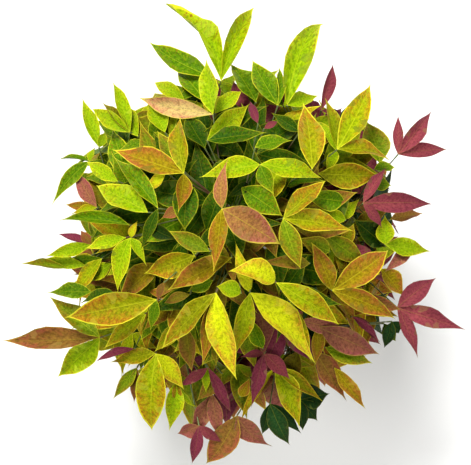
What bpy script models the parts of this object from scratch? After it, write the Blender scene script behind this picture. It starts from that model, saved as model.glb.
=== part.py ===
"""Heavenly bamboo, a compact leafy shrub rooted in level ground, at its real size in metres.

A short woody stem with a root flare carries seven canes. Each cane ends in one mass of foliage:
a stem with compound leaves, whose stalks fork into sprays of three leaflets. One seeded rule
spreads the sprays over a domed crown, and some placed sprays stand where the outline needs them.
"""

import math
import random

import bmesh
import bpy
from mathutils import Matrix, Vector
from mathutils.bvhtree import BVHTree

SEED = 3
UP = Vector((0, 0, 1))
GAP = 0.0003
GOLDEN_ANGLE = math.pi * (3 - math.sqrt(5))

# The shell that the joints of the sprays lie on: its middle and its half axes.
CROWN_MIDDLE = Vector((0, 0, 0.160))
CROWN_SIDE = 0.112
CROWN_RISE = 0.122
CROWN_DROP = 0.094
# Share of the shell's size, number of sprays, leaflet length and lowest polar angle of each layer.
LAYERS = (
    (1.00, 128, 0.056, 132),
    (0.72, 48, 0.052, 126),
)
LOWEST_LEAF = 0.012

# The short stem inside the foot of the shrub.
STEM_HEIGHT = 0.036
STEM_RADIUS = 0.016
FLARE_WIDTH = 0.012
FLARE_FALL = 0.008
LOBE_DEPTH = 0.003
LOBE_SHARPNESS = 14
STEM_SIDES = 24
STEM_RINGS = 7

# The canes: one upright in the middle and a ring that leans out, each to its bearing from east.
RING = {"east": -2, "north_east": 52, "north_west": 106, "west": 180, "south_west": 226, "south_east": 303}
CANE_FOOT_RADIUS = 0.0044
CANE_TIP_RADIUS = 0.0029
CANE_SIDES = 7
CANE_STEPS = 7
TOP_HEIGHT = 0.240
TOP_BOW = Vector((0.004, -0.003, 0.12))
TOP_FOOT = 0.02
RING_LEAN = (0.086, 0.143)
RING_LEAN_CHANGE = (0.005, 0.008)
RING_FOOT = (0.0105, 0.012)
RING_BOW = (0.021, 0.082)
CANE_SHARE = 0.62
PATH_STEPS = 24
STEM_STEPS = 4

# Stalks inside a mass, from its stem to the joint of a spray.
MASS_STEM_TIP = 0.0012
STALK_RADIUS = 0.0011
SIDE_STALK_RADIUS = 0.0007
STALK_SUNK = 0.0008
STALK_ARCH = 0.14
FORK_SHARE = 0.68
SIDE_STALK_STEP = 0.2
FIRST_STALK = 0.06
JOINT_HALF = 0.0013
JOINT_THICKNESS = 0.0014
NECK = 0.007
SPRAYS_A_LEAF = 3
LEAF_REACH = 0.08

# A leaflet: its widest place along it, then its width, thickness, fold and droop as shares of its length.
LEAFLET_WIDEST = 0.42
LEAFLET_WIDTH = 0.38
LEAFLET_THICKNESS = 0.022
LEAFLET_FOLD = 0.06
LEAFLET_DROOP = 0.08
SIDE_SIZE = 0.82
SPREAD = 64
# How a leaflet lies: its rise on the crown's top, how much it follows the crown's slope, and its facing.
TOP_RISE = 14
SLOPE_FOLLOWED = 0.36
FACING_FOLLOWED = 0.46

# Turns and tilts in degrees that a spray is tried with, and the sizes that each leaflet is tried at.
TURNS = (0, 16, -16, 34, -34, 60, -60)
PLACED_TURNS = (0, 7, -7)
TILTS = (0, 11, -11, 22)
SIZES = (1.0, 0.86, 0.72, 0.58)
CELL_MARGIN = 0.0006
JOINT_MARGIN = 0.004
LIMB_MARGIN = 0.0022
NEAR = 0.09

# Sprays that the outline and the top are known by: east and north of the axis in millimetres, the
# bearing in degrees from east, the length in millimetres of the middle leaflet, and the side ones' share.
PLACED_SPRAYS = {
    "north_ears": (-9, 126, 126, 70, 0.90),
    "north_east_long": (37, 97, 62, 62, 0.62),
    "north_east_gold": (79, 62, 61, 54, 0.75),
    "north_east_small": (67, 93, 76, 32, 0.8),
    "north_east_young": (124, 54, 52, 46, 0.80),
    "east_young": (96, 15, -4, 56, 0.60),
    "east_pale": (104, -10, -12, 48, 0.66),
    "east_low_young": (115, -34, 18, 30, 0.9),
    "south_east_young": (122, -59, -20, 60, 0.74),
    "middle_amber": (68, -57, 28, 58, 0.95),
    "south_east_tawny": (64, -94, -60, 50, 0.9),
    "middle_yellow": (12, -65, -48, 72, 0.68),
    "south_gold": (-17, -64, -78, 69, 0.80),
    "middle_rose": (-10, -4, -34, 55, 0.80),
    "middle_pale": (16, 26, -84, 36, 1.35),
    "middle_gold": (35, -9, -14, 52, 0.75),
    "middle_west": (-36, 20, 163, 60, 0.70),
    "middle_north": (50, 22, 92, 53, 0.66),
    "west_long": (-62, 0, 128, 48, 0.8),
    "west_amber": (-61, -75, 178, 67, 0.66),
    "far_west_russet": (-111, -84, 184, 76, 0.64),
    "far_west_lime": (-105, -33, 174, 58, 0.6),
    "west_olive": (-106, -10, 168, 40, 0.8),
    "north_west_olive": (-105, 17, 174, 42, 0.8),
    "north_west_lime": (-80, 70, 136, 48, 0.86),
    "north_blush": (-54, 90, 104, 56, 0.66),
    "south_west_gold": (-64, -99, -100, 54, 0.76),
    "south_plum": (22, -98, -102, 45, 0.6),
    "south_low_plum": (-25, -137, -104, 48, 0.8),
    "south_low_rose": (21, -136, -78, 36, 0.9),
}
PLACED_ROOM = 0.024

LEAF_COLOURS = {
    "top": (0.42, 0.45, 0.03),
    "east": (0.40, 0.30, 0.05),
    "north_east": (0.38, 0.42, 0.03),
    "north_west": (0.27, 0.40, 0.02),
    "west": (0.33, 0.38, 0.03),
    "south_west": (0.40, 0.28, 0.04),
    "south_east": (0.33, 0.17, 0.06),
}
CANE_COLOUR = (0.16, 0.10, 0.05)
STEM_COLOUR = (0.12, 0.08, 0.05)


def material(name, colour, roughness):
    """A plain dielectric finish for one sub-part."""
    made = bpy.data.materials.new(name)
    made.use_nodes = True
    shader = made.node_tree.nodes["Principled BSDF"]
    shader.inputs["Base Color"].default_value = (*colour, 1)
    shader.inputs["Roughness"].default_value = roughness
    shader.inputs["Metallic"].default_value = 0
    return made


def add_object(name, mesh, finish=None):
    made = bpy.data.objects.new(name, mesh)
    bpy.context.scene.collection.objects.link(made)
    if finish:
        mesh.materials.append(finish)
    return made


def mesh_of(name, points, faces):
    mesh = bpy.data.meshes.new(name)
    mesh.from_pydata([tuple(p) for p in points], [], faces)
    return mesh


def bearing(degrees, rise=0.0):
    """The unit vector at this angle from east towards north, raised by rise degrees."""
    turn, lift = math.radians(degrees), math.radians(rise)
    return Vector((math.cos(turn) * math.cos(lift), math.sin(turn) * math.cos(lift), math.sin(lift)))


def bent(start, middle, end, steps):
    """Points along the smooth bend from start to end that is pulled towards middle."""
    shares = [i / steps for i in range(steps + 1)]
    return [start * (1 - t) ** 2 + middle * 2 * t * (1 - t) + end * t * t for t in shares]


def at_share(path, share):
    """The place at this share of the way along a path whose points are evenly spaced."""
    run = min(max(share, 0), 1) * (len(path) - 1)
    i = min(int(run), len(path) - 2)
    return path[i].lerp(path[i + 1], run - i)


def tube(name, path, radii, sides):
    """A closed tube with flat ends along a path, with one radius for each point."""
    points, faces = [], []
    side = (path[1] - path[0]).orthogonal().normalized()
    for i, (place, radius) in enumerate(zip(path, radii)):
        ahead = (path[min(i + 1, len(path) - 1)] - path[max(i - 1, 0)]).normalized()
        side = (side - ahead * side.dot(ahead)).normalized()
        for k in range(sides):
            points.append(place + Matrix.Rotation(math.tau * k / sides, 3, ahead) @ side * radius)
    for i in range(len(path) - 1):
        for k in range(sides):
            a, b = i * sides + k, i * sides + (k + 1) % sides
            faces.append((a, b, b + sides, a + sides))
    faces.append(tuple(reversed(range(sides))))
    faces.append(tuple(range(len(points) - sides, len(points))))
    return mesh_of(name, points, faces)


def tapered(first, last, steps):
    """Radii that go evenly from first to last."""
    return [first + (last - first) * i / steps for i in range(steps + 1)]


def tree_of(mesh):
    """A search tree of a mesh's faces, to test it against others."""
    return BVHTree.FromPolygons([v.co for v in mesh.vertices], [tuple(f.vertices) for f in mesh.polygons])


class Mass:
    """One cane with the mass of foliage at its end."""

    def __init__(self, name, foot, bow, middle):
        self.name = name
        self.middle = middle
        path = bent(foot, bow, middle, PATH_STEPS)
        last = round(PATH_STEPS * CANE_SHARE)
        self.cane = path[: last + 1]
        ahead = (path[last + 1] - path[last]).normalized()
        tail = [path[last] + ahead * GAP, *path[last + 1 :]]
        self.stem = [at_share(tail, i / STEM_STEPS) for i in range(STEM_STEPS + 1)]


def all_masses():
    """The upright cane and the ring of leaning ones, with the middle of each mass."""
    found = [Mass("top", UP * TOP_FOOT, TOP_BOW, UP * TOP_HEIGHT)]
    for i, (name, turn) in enumerate(RING.items()):
        out = bearing(turn)
        sway = 1 if i % 2 else -1
        reach = RING_LEAN[0] + sway * RING_LEAN_CHANGE[0]
        height = RING_LEAN[1] - sway * RING_LEAN_CHANGE[1]
        foot = out * RING_FOOT[0] + UP * RING_FOOT[1]
        bow = out * RING_BOW[0] + UP * RING_BOW[1]
        found.append(Mass(name, foot, bow, out * reach + UP * height))
    return found


def inside(mass, masses, place, margin):
    """True in the mass's own space: nearest to its middle, by the margin, and off the ground."""
    own = (place - mass.middle).length_squared
    for other in masses:
        if other is mass:
            continue
        apart = (other.middle - mass.middle).length
        if ((place - other.middle).length_squared - own) / (2 * apart) < margin:
            return False
    return place.z > LOWEST_LEAF


def off_the_limbs(masses, places):
    """True where every place is clear of all the canes."""
    reach = CANE_FOOT_RADIUS + LIMB_MARGIN
    joints = [joint for mass in masses for joint in mass.cane[3::2]]
    return all((place - joint).length > reach for joint in joints for place in places)


def shell_height(flat):
    """The height of the crown's shell over a place in plan."""
    share = min(flat.length / CROWN_SIDE, 0.98)
    return CROWN_MIDDLE.z + CROWN_RISE * math.sqrt(1 - share * share)


class Spray:
    """Three leaflets on one joint, where the side ones are a share of the middle one's length."""

    def __init__(self, place, heading, length, side_share, turns, dice):
        self.place = place
        self.turns = turns
        spread = SPREAD + dice.uniform(-7, 9)
        short = length * side_share
        self.leaflets = ((heading, length), (heading + spread, short), (heading - spread, short))
        self.roll = dice.uniform(-16, 16)
        self.lift = dice.uniform(-7, 9)
        out = place - CROWN_MIDDLE
        self.round_crown = math.degrees(math.atan2(out.y, out.x))
        self.polar = math.degrees(math.atan2(math.hypot(out.x, out.y), out.z))
        self.facing = bearing(self.round_crown, 90 - FACING_FOLLOWED * self.polar)
        self.grown = []

    def lie(self, heading, tilt):
        """The direction and the facing of a leaflet, which follow the crown's slope in part."""
        slope = self.polar * math.cos(math.radians(heading - self.round_crown))
        along = bearing(heading, TOP_RISE + self.lift + tilt - SLOPE_FOLLOWED * slope)
        return along, Matrix.Rotation(math.radians(self.roll), 3, along) @ self.facing


def seeded_sprays(dice, taken):
    """Sprays spread evenly over each layer of the crown, leaving room round those already placed."""
    found = []
    for size, count, length, lowest in LAYERS:
        lowest_rise = math.cos(math.radians(lowest))
        for i in range(count):
            rise = 1 - (i + 0.5) / count * (1 - lowest_rise)
            flat = math.sqrt(1 - rise * rise) * CROWN_SIDE
            turn = i * GOLDEN_ANGLE + size * 2
            tall = CROWN_RISE if rise > 0 else CROWN_DROP
            out = Vector((flat * math.cos(turn), flat * math.sin(turn), rise * tall))
            place = CROWN_MIDDLE + out * size * dice.uniform(0.88, 1.05)
            heading = math.degrees(turn) + dice.gauss(0, 12 + 40 * max(rise, 0) ** 2)
            made = Spray(place, heading, length * dice.uniform(0.84, 1.16), SIDE_SIZE, TURNS, dice)
            if size < 1 or all((place - other.place).length > PLACED_ROOM for other in taken):
                found.append(made)
    return found


def placed_sprays(dice):
    found = []
    for east, north, heading, length, side_share in PLACED_SPRAYS.values():
        flat = Vector((east, north)) / 1000
        place = Vector((*flat, shell_height(flat)))
        found.append(Spray(place, heading, length / 1000, side_share, PLACED_TURNS, dice))
    return found


def leaflet_points(base, along, facing, length):
    """A leaflet's left edge, tip, right edge, and its ridge above and below."""
    across = along.cross(facing).normalized()
    facing = across.cross(along)
    broad = base + along * length * LEAFLET_WIDEST
    edge = broad + facing * length * LEAFLET_FOLD
    side = across * length * LEAFLET_WIDTH / 2
    tip = base + along * length - facing * length * LEAFLET_DROOP
    ridge = facing * length * LEAFLET_THICKNESS / 2
    return [edge - side, tip, edge + side, broad + ridge, broad - ridge]


# The faces of a leaflet that others are tested against, on its base and the points above.
LEAFLET_FACES = ((0, 4, 1), (0, 3, 4), (1, 4, 2), (4, 3, 2), (1, 5, 2), (5, 3, 2))


def fitting_leaflets(spray, turn, tilt, mass, masses, grown):
    """Each leaflet of a spray, or None where it would leave the mass's space or touch a neighbour."""
    found = []
    for heading, length in spray.leaflets:
        along, facing = spray.lie(heading + turn, tilt)
        found.append(None)
        for size in SIZES:
            points = leaflet_points(spray.place, along, facing, length * size)
            outer = points[:3]
            if not all(inside(mass, masses, p, CELL_MARGIN) for p in outer):
                continue
            tests = [spray.place.lerp(p, share) for p in outer for share in (0.4, 0.7, 1)]
            if not off_the_limbs(masses, tests):
                continue
            corners = [spray.place + along * JOINT_HALF * 2, *points]
            tree = BVHTree.FromPolygons(corners, LEAFLET_FACES)
            near = (g for g in grown if (g[0] - points[3]).length < NEAR)
            if any(tree.overlap(other) for _, other in near):
                continue
            found[-1] = (points, tree, length * size)
            break
    return found


def grow(spray, mass, masses, grown):
    """Gives a spray its leaflets, in the turn and tilt that leave the most of them."""
    best_size = 0
    for tilt in TILTS:
        for turn in spray.turns:
            fitting = fitting_leaflets(spray, turn, tilt, mass, masses, grown)
            size = sum(leaflet[2] for leaflet in fitting if leaflet)
            if size > best_size * 1.05:
                best_size = size
                spray.grown = [leaflet and leaflet[0] for leaflet in fitting]
                spray.turn = turn
                trees = [(leaflet[0][3], leaflet[1]) for leaflet in fitting if leaflet]
    if spray.grown:
        grown += trees


def leaf_groups(sprays):
    """The sprays of a mass in the groups that share one leaf stalk, the furthest first."""
    left = sorted(sprays, key=lambda s: (-(s.place - CROWN_MIDDLE).length, s.place.x))
    while left:
        first = left.pop(0)
        near = sorted(left, key=lambda s: (s.place - first.place).length)[: SPRAYS_A_LEAF - 1]
        near = [s for s in near if (s.place - first.place).length < LEAF_REACH]
        for s in near:
            left.remove(s)
        yield [first, *near]


def middle_of(group):
    return sum((spray.place for spray in group), Vector()) / len(group)


def leaf_stalk(root, masses, mass, group):
    """The stalk of one compound leaf as a mesh. Each of its sprays gets the place it springs from."""
    if len(group) == 1:
        group[0].start = root
        return None
    fork = root.lerp(middle_of(group), FORK_SHARE)
    out = (fork - root).normalized()
    bow = (root + fork) / 2 + UP * (fork - root).length * STALK_ARCH
    if not inside(mass, masses, bow, JOINT_MARGIN):
        bow = (root + fork) / 2
    path = bent(root - out * STALK_SUNK, bow, fork, 2)
    group.sort(key=lambda s: -(s.place - root).length)
    for i, spray in enumerate(group):
        spray.start = at_share(path, 0.97 - i * SIDE_STALK_STEP)
    return tube("stalk", path, [STALK_RADIUS * 1.3, STALK_RADIUS, STALK_RADIUS], 3)


def leaf_stalks(mass, masses, sprays):
    """The stalks of a mass's compound leaves, set along its stem in the order that they stand."""
    first, last = mass.stem[0], mass.stem[-1]
    groups = sorted(leaf_groups(sprays), key=lambda group: (middle_of(group) - first).dot(last - first))
    found = []
    for i, group in enumerate(groups):
        root = at_share(mass.stem, FIRST_STALK + (0.98 - FIRST_STALK) * (i + 0.5) / len(groups))
        found.append(leaf_stalk(root, masses, mass, group))
    return [stalk for stalk in found if stalk]


def spray_mesh(spray):
    """A spray as one closed mesh: a square joint, a stalk under it, and leaflets on its sides."""
    ahead = bearing(spray.leaflets[0][0] + spray.turn)
    ahead = (ahead - spray.facing * ahead.dot(spray.facing)).normalized()
    left = spray.facing.cross(ahead)
    run = (spray.start - spray.place).normalized()
    rise = spray.facing * JOINT_THICKNESS / 2
    corners = [ahead + left, left - ahead, -ahead - left, ahead - left]
    end = spray.start + run * STALK_SUNK
    points = [spray.place + c * JOINT_HALF + rise for c in corners]
    points += [spray.place + c * JOINT_HALF - rise for c in corners]
    for c in (ahead, left - ahead / 2, -left - ahead / 2):
        points.append(end + (c - run * c.dot(run)).normalized() * SIDE_STALK_RADIUS)
    faces = [(0, 1, 2, 3), (5, 4, 8, 9), (6, 5, 9, 10), (7, 6, 10, 8), (4, 7, 8), (10, 9, 8)]
    grown = {0: spray.grown[0], 1: spray.grown[1], 3: spray.grown[2]}
    for k in range(4):
        right_up, left_up = (k + 3) % 4, k
        right_low, left_low = right_up + 4, left_up + 4
        if not grown.get(k):
            faces.append((right_low, left_low, left_up, right_up))
            continue
        left_edge, tip, right_edge, above, below = range(len(points), len(points) + 5)
        points += grown[k]
        faces += [(left_up, right_up, above), (right_low, left_low, below)]
        faces += [(left_up, above, left_edge), (right_up, right_edge, above)]
        faces += [(left_edge, above, tip), (above, right_edge, tip)]
        faces += [(left_edge, below, left_low), (below, right_edge, right_low)]
        faces += [(tip, below, left_edge), (tip, right_edge, below)]
        faces += [(left_up, left_edge, left_low), (right_up, right_low, right_edge)]
    return mesh_of("spray", points, faces)


def keep_largest_piece(mesh):
    """Removes the walls of any hollow that fusing sealed, which fills it, and any loose scrap."""
    shape = bmesh.new()
    shape.from_mesh(mesh)
    left, pieces = set(shape.verts), []
    while left:
        piece, edge = set(), {left.pop()}
        while edge:
            piece |= edge
            edge = {e.other_vert(v) for v in edge for e in v.link_edges} - piece
        left -= piece
        pieces.append(piece)
    pieces.sort(key=len)
    for piece in pieces[:-1]:
        bmesh.ops.delete(shape, geom=list(piece), context="VERTS")
    shape.to_mesh(mesh)
    shape.free()


def fused(name, stem, others, finish):
    """One solid of a stem and everything that grows from it, by one Boolean union."""
    whole = add_object(name, stem, finish)
    grown = bpy.data.collections.new(name + "_grown")
    bpy.context.scene.collection.children.link(grown)
    for mesh in others:
        grown.objects.link(bpy.data.objects.new(mesh.name, mesh))
    join = whole.modifiers.new("join", "BOOLEAN")
    join.operation = "UNION"
    join.operand_type = "COLLECTION"
    join.collection = grown
    join.solver = "MANIFOLD"
    graph = bpy.context.evaluated_depsgraph_get()
    mesh = bpy.data.meshes.new_from_object(whole.evaluated_get(graph))
    whole.modifiers.remove(join)
    keep_largest_piece(mesh)
    whole.data = mesh
    for part in list(grown.objects):
        bpy.data.objects.remove(part)
    bpy.data.collections.remove(grown)
    return whole


def nearest_mass(masses, place):
    return min(masses, key=lambda mass: (place - mass.middle).length)


def settled(sprays, masses):
    """The sprays of each mass, moved inwards as far as a joint needs to keep to the mass's space."""
    found = {mass.name: [] for mass in masses}
    for spray in sprays:
        mass = nearest_mass(masses, spray.place)
        while not inside(mass, masses, spray.place, JOINT_MARGIN):
            spray.place = spray.place.lerp(mass.middle, 0.05)
        found[mass.name].append(spray)
    return found


def side_stalk(spray):
    """The stalk of a spray on its own, short of its joint, to test leaflets against."""
    end = spray.place.lerp(spray.start, min(NECK / (spray.place - spray.start).length, 0.5))
    return tube("side_stalk", [spray.start, end], [SIDE_STALK_RADIUS] * 2, 3)


def build_mass(mass, masses, sprays):
    """The stem, leaf stalks and leaflets of one mass as one solid."""
    stem = tube("stem", mass.stem, tapered(CANE_TIP_RADIUS, MASS_STEM_TIP, STEM_STEPS), 5)
    stalks = leaf_stalks(mass, masses, sprays)
    side_stalks = [side_stalk(spray) for spray in sprays]
    grown = []
    for mesh in stalks + side_stalks:
        grown.append((mesh.vertices[0].co.lerp(mesh.vertices[-1].co, 0.5), tree_of(mesh)))
    grown.append((mass.middle, tree_of(stem)))
    for spray in sprays:
        grow(spray, mass, masses, grown)
    kept = [spray for spray in sprays if spray.grown]
    others = stalks + [spray_mesh(spray) for spray in kept]
    finish = material("leaves_" + mass.name, LEAF_COLOURS[mass.name], 0.45)
    fused("foliage_" + mass.name, stem, others, finish)
    return sum(1 for spray in kept for leaflet in spray.grown if leaflet)


def stem_radius(height, turn, more):
    """The short stem's radius, with its root flare and a lobe under each cane of the ring."""
    flare = FLARE_WIDTH * math.exp(-height / FLARE_FALL)
    lobe = max(math.cos(turn - math.radians(cane)) for cane in RING.values()) ** LOBE_SHARPNESS
    return STEM_RADIUS + flare * (0.75 + 0.5 * lobe) + LOBE_DEPTH * (lobe - 0.5) + more


def stem_mesh(name, more=0.0, bottom=0.0):
    """The short stem from a flat cut up to its domed top, grown outwards by more."""
    points, faces = [], []
    top = STEM_HEIGHT + more
    for i in range(STEM_RINGS):
        height = bottom + (top - bottom) * math.sin(i / STEM_RINGS * math.pi / 2)
        close = math.sqrt(1 - (max(height, 0) / top) ** 6)
        for k in range(STEM_SIDES):
            turn = math.tau * k / STEM_SIDES
            radius = stem_radius(max(height, 0), turn, more) * close
            points.append((radius * math.cos(turn), radius * math.sin(turn), height))
    points.append((0, 0, top))
    for i in range(STEM_RINGS):
        for k in range(STEM_SIDES):
            a, b = i * STEM_SIDES + k, i * STEM_SIDES + (k + 1) % STEM_SIDES
            last = i == STEM_RINGS - 1
            faces.append((a, b, len(points) - 1) if last else (a, b, b + STEM_SIDES, a + STEM_SIDES))
    faces.append(tuple(reversed(range(STEM_SIDES))))
    return mesh_of(name, points, faces)


def build_cane(mass, cutter, finish):
    """One tapering cane from the short stem to its mass, its foot cut to the stem's surface."""
    path = [at_share(mass.cane, i / CANE_STEPS) for i in range(CANE_STEPS + 1)]
    radii = tapered(CANE_FOOT_RADIUS, CANE_TIP_RADIUS, CANE_STEPS)
    cane = add_object("cane_" + mass.name, tube("cane", path, radii, CANE_SIDES), finish)
    cut = cane.modifiers.new("foot", "BOOLEAN")
    cut.operation = "DIFFERENCE"
    cut.object = cutter
    cut.solver = "EXACT"


def main():
    for old in list(bpy.data.objects):
        bpy.data.objects.remove(old)
    dice = random.Random(SEED)
    masses = all_masses()
    placed = placed_sprays(dice)
    sprays = settled(placed + seeded_sprays(dice, placed), masses)
    add_object("short_stem", stem_mesh("short_stem"), material("stem_bark", STEM_COLOUR, 0.85))
    cutter = add_object("stem_clearance", stem_mesh("stem_clearance", GAP, -0.01))
    cutter.hide_render = True
    cutter.display_type = "WIRE"
    bark = material("cane_bark", CANE_COLOUR, 0.7)
    for mass in masses:
        build_cane(mass, cutter, bark)
        leaflets = build_mass(mass, masses, sprays[mass.name])
        print(mass.name, leaflets, "leaflets on", len(sprays[mass.name]), "sprays")


main()
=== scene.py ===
import functools
import math
import random

import bpy
import numpy as np
from bpy.props import FloatProperty, FloatVectorProperty, IntProperty, PointerProperty
from mathutils import Matrix, Vector, noise
from mathutils.bvhtree import BVHTree


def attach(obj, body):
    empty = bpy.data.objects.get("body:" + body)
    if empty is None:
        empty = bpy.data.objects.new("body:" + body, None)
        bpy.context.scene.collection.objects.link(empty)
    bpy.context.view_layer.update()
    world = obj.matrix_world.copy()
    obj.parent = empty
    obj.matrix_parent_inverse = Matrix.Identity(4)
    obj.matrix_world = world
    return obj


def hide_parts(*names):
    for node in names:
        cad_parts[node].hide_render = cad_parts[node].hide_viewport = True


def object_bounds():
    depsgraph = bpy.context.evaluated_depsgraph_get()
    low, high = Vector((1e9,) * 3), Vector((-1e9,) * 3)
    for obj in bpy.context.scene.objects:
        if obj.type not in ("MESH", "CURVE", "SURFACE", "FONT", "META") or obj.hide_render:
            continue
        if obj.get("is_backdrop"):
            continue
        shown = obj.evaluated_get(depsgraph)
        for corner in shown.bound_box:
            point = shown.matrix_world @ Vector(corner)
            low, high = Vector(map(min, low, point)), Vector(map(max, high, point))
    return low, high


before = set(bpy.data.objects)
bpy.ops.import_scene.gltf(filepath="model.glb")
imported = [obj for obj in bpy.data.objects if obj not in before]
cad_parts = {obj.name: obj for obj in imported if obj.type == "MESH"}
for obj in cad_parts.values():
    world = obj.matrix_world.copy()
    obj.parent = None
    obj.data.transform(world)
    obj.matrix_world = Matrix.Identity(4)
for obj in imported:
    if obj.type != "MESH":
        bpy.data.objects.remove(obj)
CAD_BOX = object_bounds()

bl_info = {
    "name": "Heavenly bamboo",
    "version": (1, 0, 0),
    "blender": (4, 5, 0),
    "location": "3D View > Sidebar > Plant",
    "description": "Grows a compact leafy shrub: bark, stalks and leaflets in their autumn tints",
    "category": "Add Mesh",
}

UP = Vector((0, 0, 1))
EAST = Vector((1, 0, 0))
GOLDEN_ANGLE = math.pi * (3 - math.sqrt(5))
FACE_TOP, FACE_UNDER = 1.0, -2.5

# Canes: one upright in the middle and a ring that leans out, each to its bearing from east.
RING = {"east": -2, "north_east": 52, "north_west": 106, "west": 180, "south_west": 226, "south_east": 303}
LIMBS = ("top", *RING)
TOP_HEIGHT = 0.240
TOP_BOW = Vector((0.004, -0.003, 0.12))
TOP_FOOT = 0.02
RING_LEAN = (0.086, 0.143)
RING_LEAN_CHANGE = (0.005, 0.008)
RING_FOOT = (0.0105, 0.012)
RING_BOW = (0.021, 0.082)
CANE_SHARE = 0.62
PATH_STEPS = 48

# The short stem's flare at the ground, and the lobe under each cane.
FLARE_WIDTH = 0.012
FLARE_FALL = 0.008
LOBE_DEPTH = 0.003
LOBE_SHARPNESS = 14
STEM_SIDES = 144
STEM_RINGS = 64
CANE_SIDES = 20
CANE_RINGS = 84
LEAF_SCAR_STEP = 0.0085
# The relief of the bark: the short stem's ridges, its grain and how far both are sunk, then a cane's scars,
# the groove beside each, and its furrows.
RIDGE_HEIGHT = 0.0011
GRAIN_HEIGHT = 0.0005
RIDGE_SUNK = 0.0008
SCAR_HEIGHT = 0.00045
GROOVE_DEPTH = 0.0002
FURROW_DEPTH = 0.00022

# The crown's middle, then the share of its shell, the number of sprays, the leaflet length and the
# lowest polar angle of each layer.
CROWN_MIDDLE = Vector((0, 0, 0.160))
LAYERS = (
    (1.00, 215, 0.054, 132),
    (0.88, 120, 0.054, 130),
    (0.73, 80, 0.052, 124),
    (0.55, 36, 0.050, 110),
)
# Seeded sprays near the top start this share of the shell below it, under the sprays of the photograph.
TOP_SUNK = 0.26
LOWEST_LEAF = 0.008
PAST_BOX = 0.008
# The top of the crown's shell leaves off at this share of its half width, and falls at this slope past it.
SHELL_EDGE = 0.9
EDGE_SLOPE = 0.7
SEARCH_STEPS = 24

# Stalks, from the stem of a mass to the joint of a spray.
STEM_TIP = 0.0012
STALK_RADIUS = 0.0009
SIDE_STALK_RADIUS = 0.00055
STALK_ARCH = 0.09
FORK_SHARE = 0.58
SIDE_STALK_STEP = 0.2
FIRST_STALK = 0.06
SPRAYS_A_LEAF = 3
LEAF_REACH = 0.08
LAST_STALK = 0.98
SIDE_STALK_START = 0.99
SIDE_ARCH_SHARE = 0.6
# A stalk's radius at its foot and its tip, as shares of its middle one, and how much its joints swell.
STALK_TAPER = (1.25, 0.85, 1.35)
SIDE_STALK_TAPER = (1.2, 0.8, 1.5)
# How far the tip of a mass's stem goes past the end of its path.
STEM_END = 0.004
STALK_STEPS = 8

# How a spray's leaflets spread and lie.
SIDE_SIZE = 0.82
SPREAD = 64
TOP_RISE = 14
SLOPE_FOLLOWED = 0.36
FACING_FOLLOWED = 0.46
DROOP_RAISED = 0.35
SPREAD_CHANGE = 9
SPRAY_ROLL = 20
SPRAY_LIFT = 10
DEPTH_RANGE = (0.82, 1.06)
LENGTH_RANGE = (0.7, 1.22)
HEADING_SPREAD = (16, 44)
TURNS = (0, 16, -16, 34, -34, 60, -60)
TILTS = (0, 11, -11, 22)
SIZES = (1.0, 0.86, 0.72, 0.58)
# How far a spray of the photograph may be sunk or raised to clear the ones above it, and how steeply its
# leaflets may lie.
SINKS = (*(0.0035 * i for i in range(12)), -0.006, -0.012, -0.018, -0.024)
DIPS = (0, 0.006, 0.012, 0.018)
# What one hidden place weighs against a leaflet with no room.
HIDING_WEIGHT = 0.3
# Where the last of a spray's stalk is tested, as shares of the way to the middle of the crown.
STALK_SHARES = (0.04, 0.1, 0.18)
# The arch of a blade shows it this many pixels above its ends.
ARCH_SHOWN = 1.5
STEEPEST = (-28, 18)
NARROWEST = 0.27
# How much wider than it shows a blade of the photograph is, which sets how far it folds.
FOLD_SPARE = 1.1

# The photograph's frame in pixels, and the camera that sees the plant as it does.
FRAME = (471, 465)
LENS = 137
SENSOR = 36
AIM = Vector((0, 0, 0.165))

# Lamps: how wide, how strong, the bearing and the rise that they stand at, and how far away.
LAMPS = {
    "key_softbox": (1.8, 190, 118, 56, 4),
    "east_softbox": (1.8, 55, 20, 44, 4),
    "west_softbox": (1.8, 55, 200, 44, 4),
    "south_softbox": (1.8, 50, 290, 48, 4),
}
SKY_STRENGTH = 0.14
FLOOR_REACH = 9

# The blade's outline and rows: half width at a share t of the length is t ** SWELL * (1 - t) ** taper, where
# the taper is near the middle one.
SWELL = 1.18
TAPER = 1.85
TAPER_CHANGE = 0.35
BLADE_ROWS = (0.05, 0.13, 0.23, 0.34, 0.46, 0.58, 0.69, 0.79, 0.88, 0.95)
FOLD_ROUNDING = 1.12
# The ripple along an edge, in radians over the length of the blade.
WAVE_BEAT = 11
# How far leaflets differ by chance: spreads round the middle values, or the lowest and highest.
ROLL_SPREAD = 0.25
WIDTH_RANGE = (0.86, 1.14)
FOLD_RANGE = (0.5, 1.5)
DROOP_SPREAD = 0.6
LEAST_DROOP = 0.06
TWIST_SPREAD = 0.16
SWEEP_SPREAD = 0.035
WAVE_RANGE = (0.01, 0.05)
DIP_SPREAD = 0.003
# What each point of the blades carries for the nodes that bend them.
BLADE_VALUES = ("local", "profile", "under", "place", "turn", "spans", "bends", "sway", "tile", "outline")
# The leaf pattern: its tiles along a side, the room at a tile's edge, half of the drawn blade's width as a
# share of its length, and how far the drawing is shifted from tile to tile.
TILES = 3
TILE_EDGE = 0.02
DRAWN_HALF = 0.19
TILE_SHIFT = (7.3, 3.1, 0)

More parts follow.
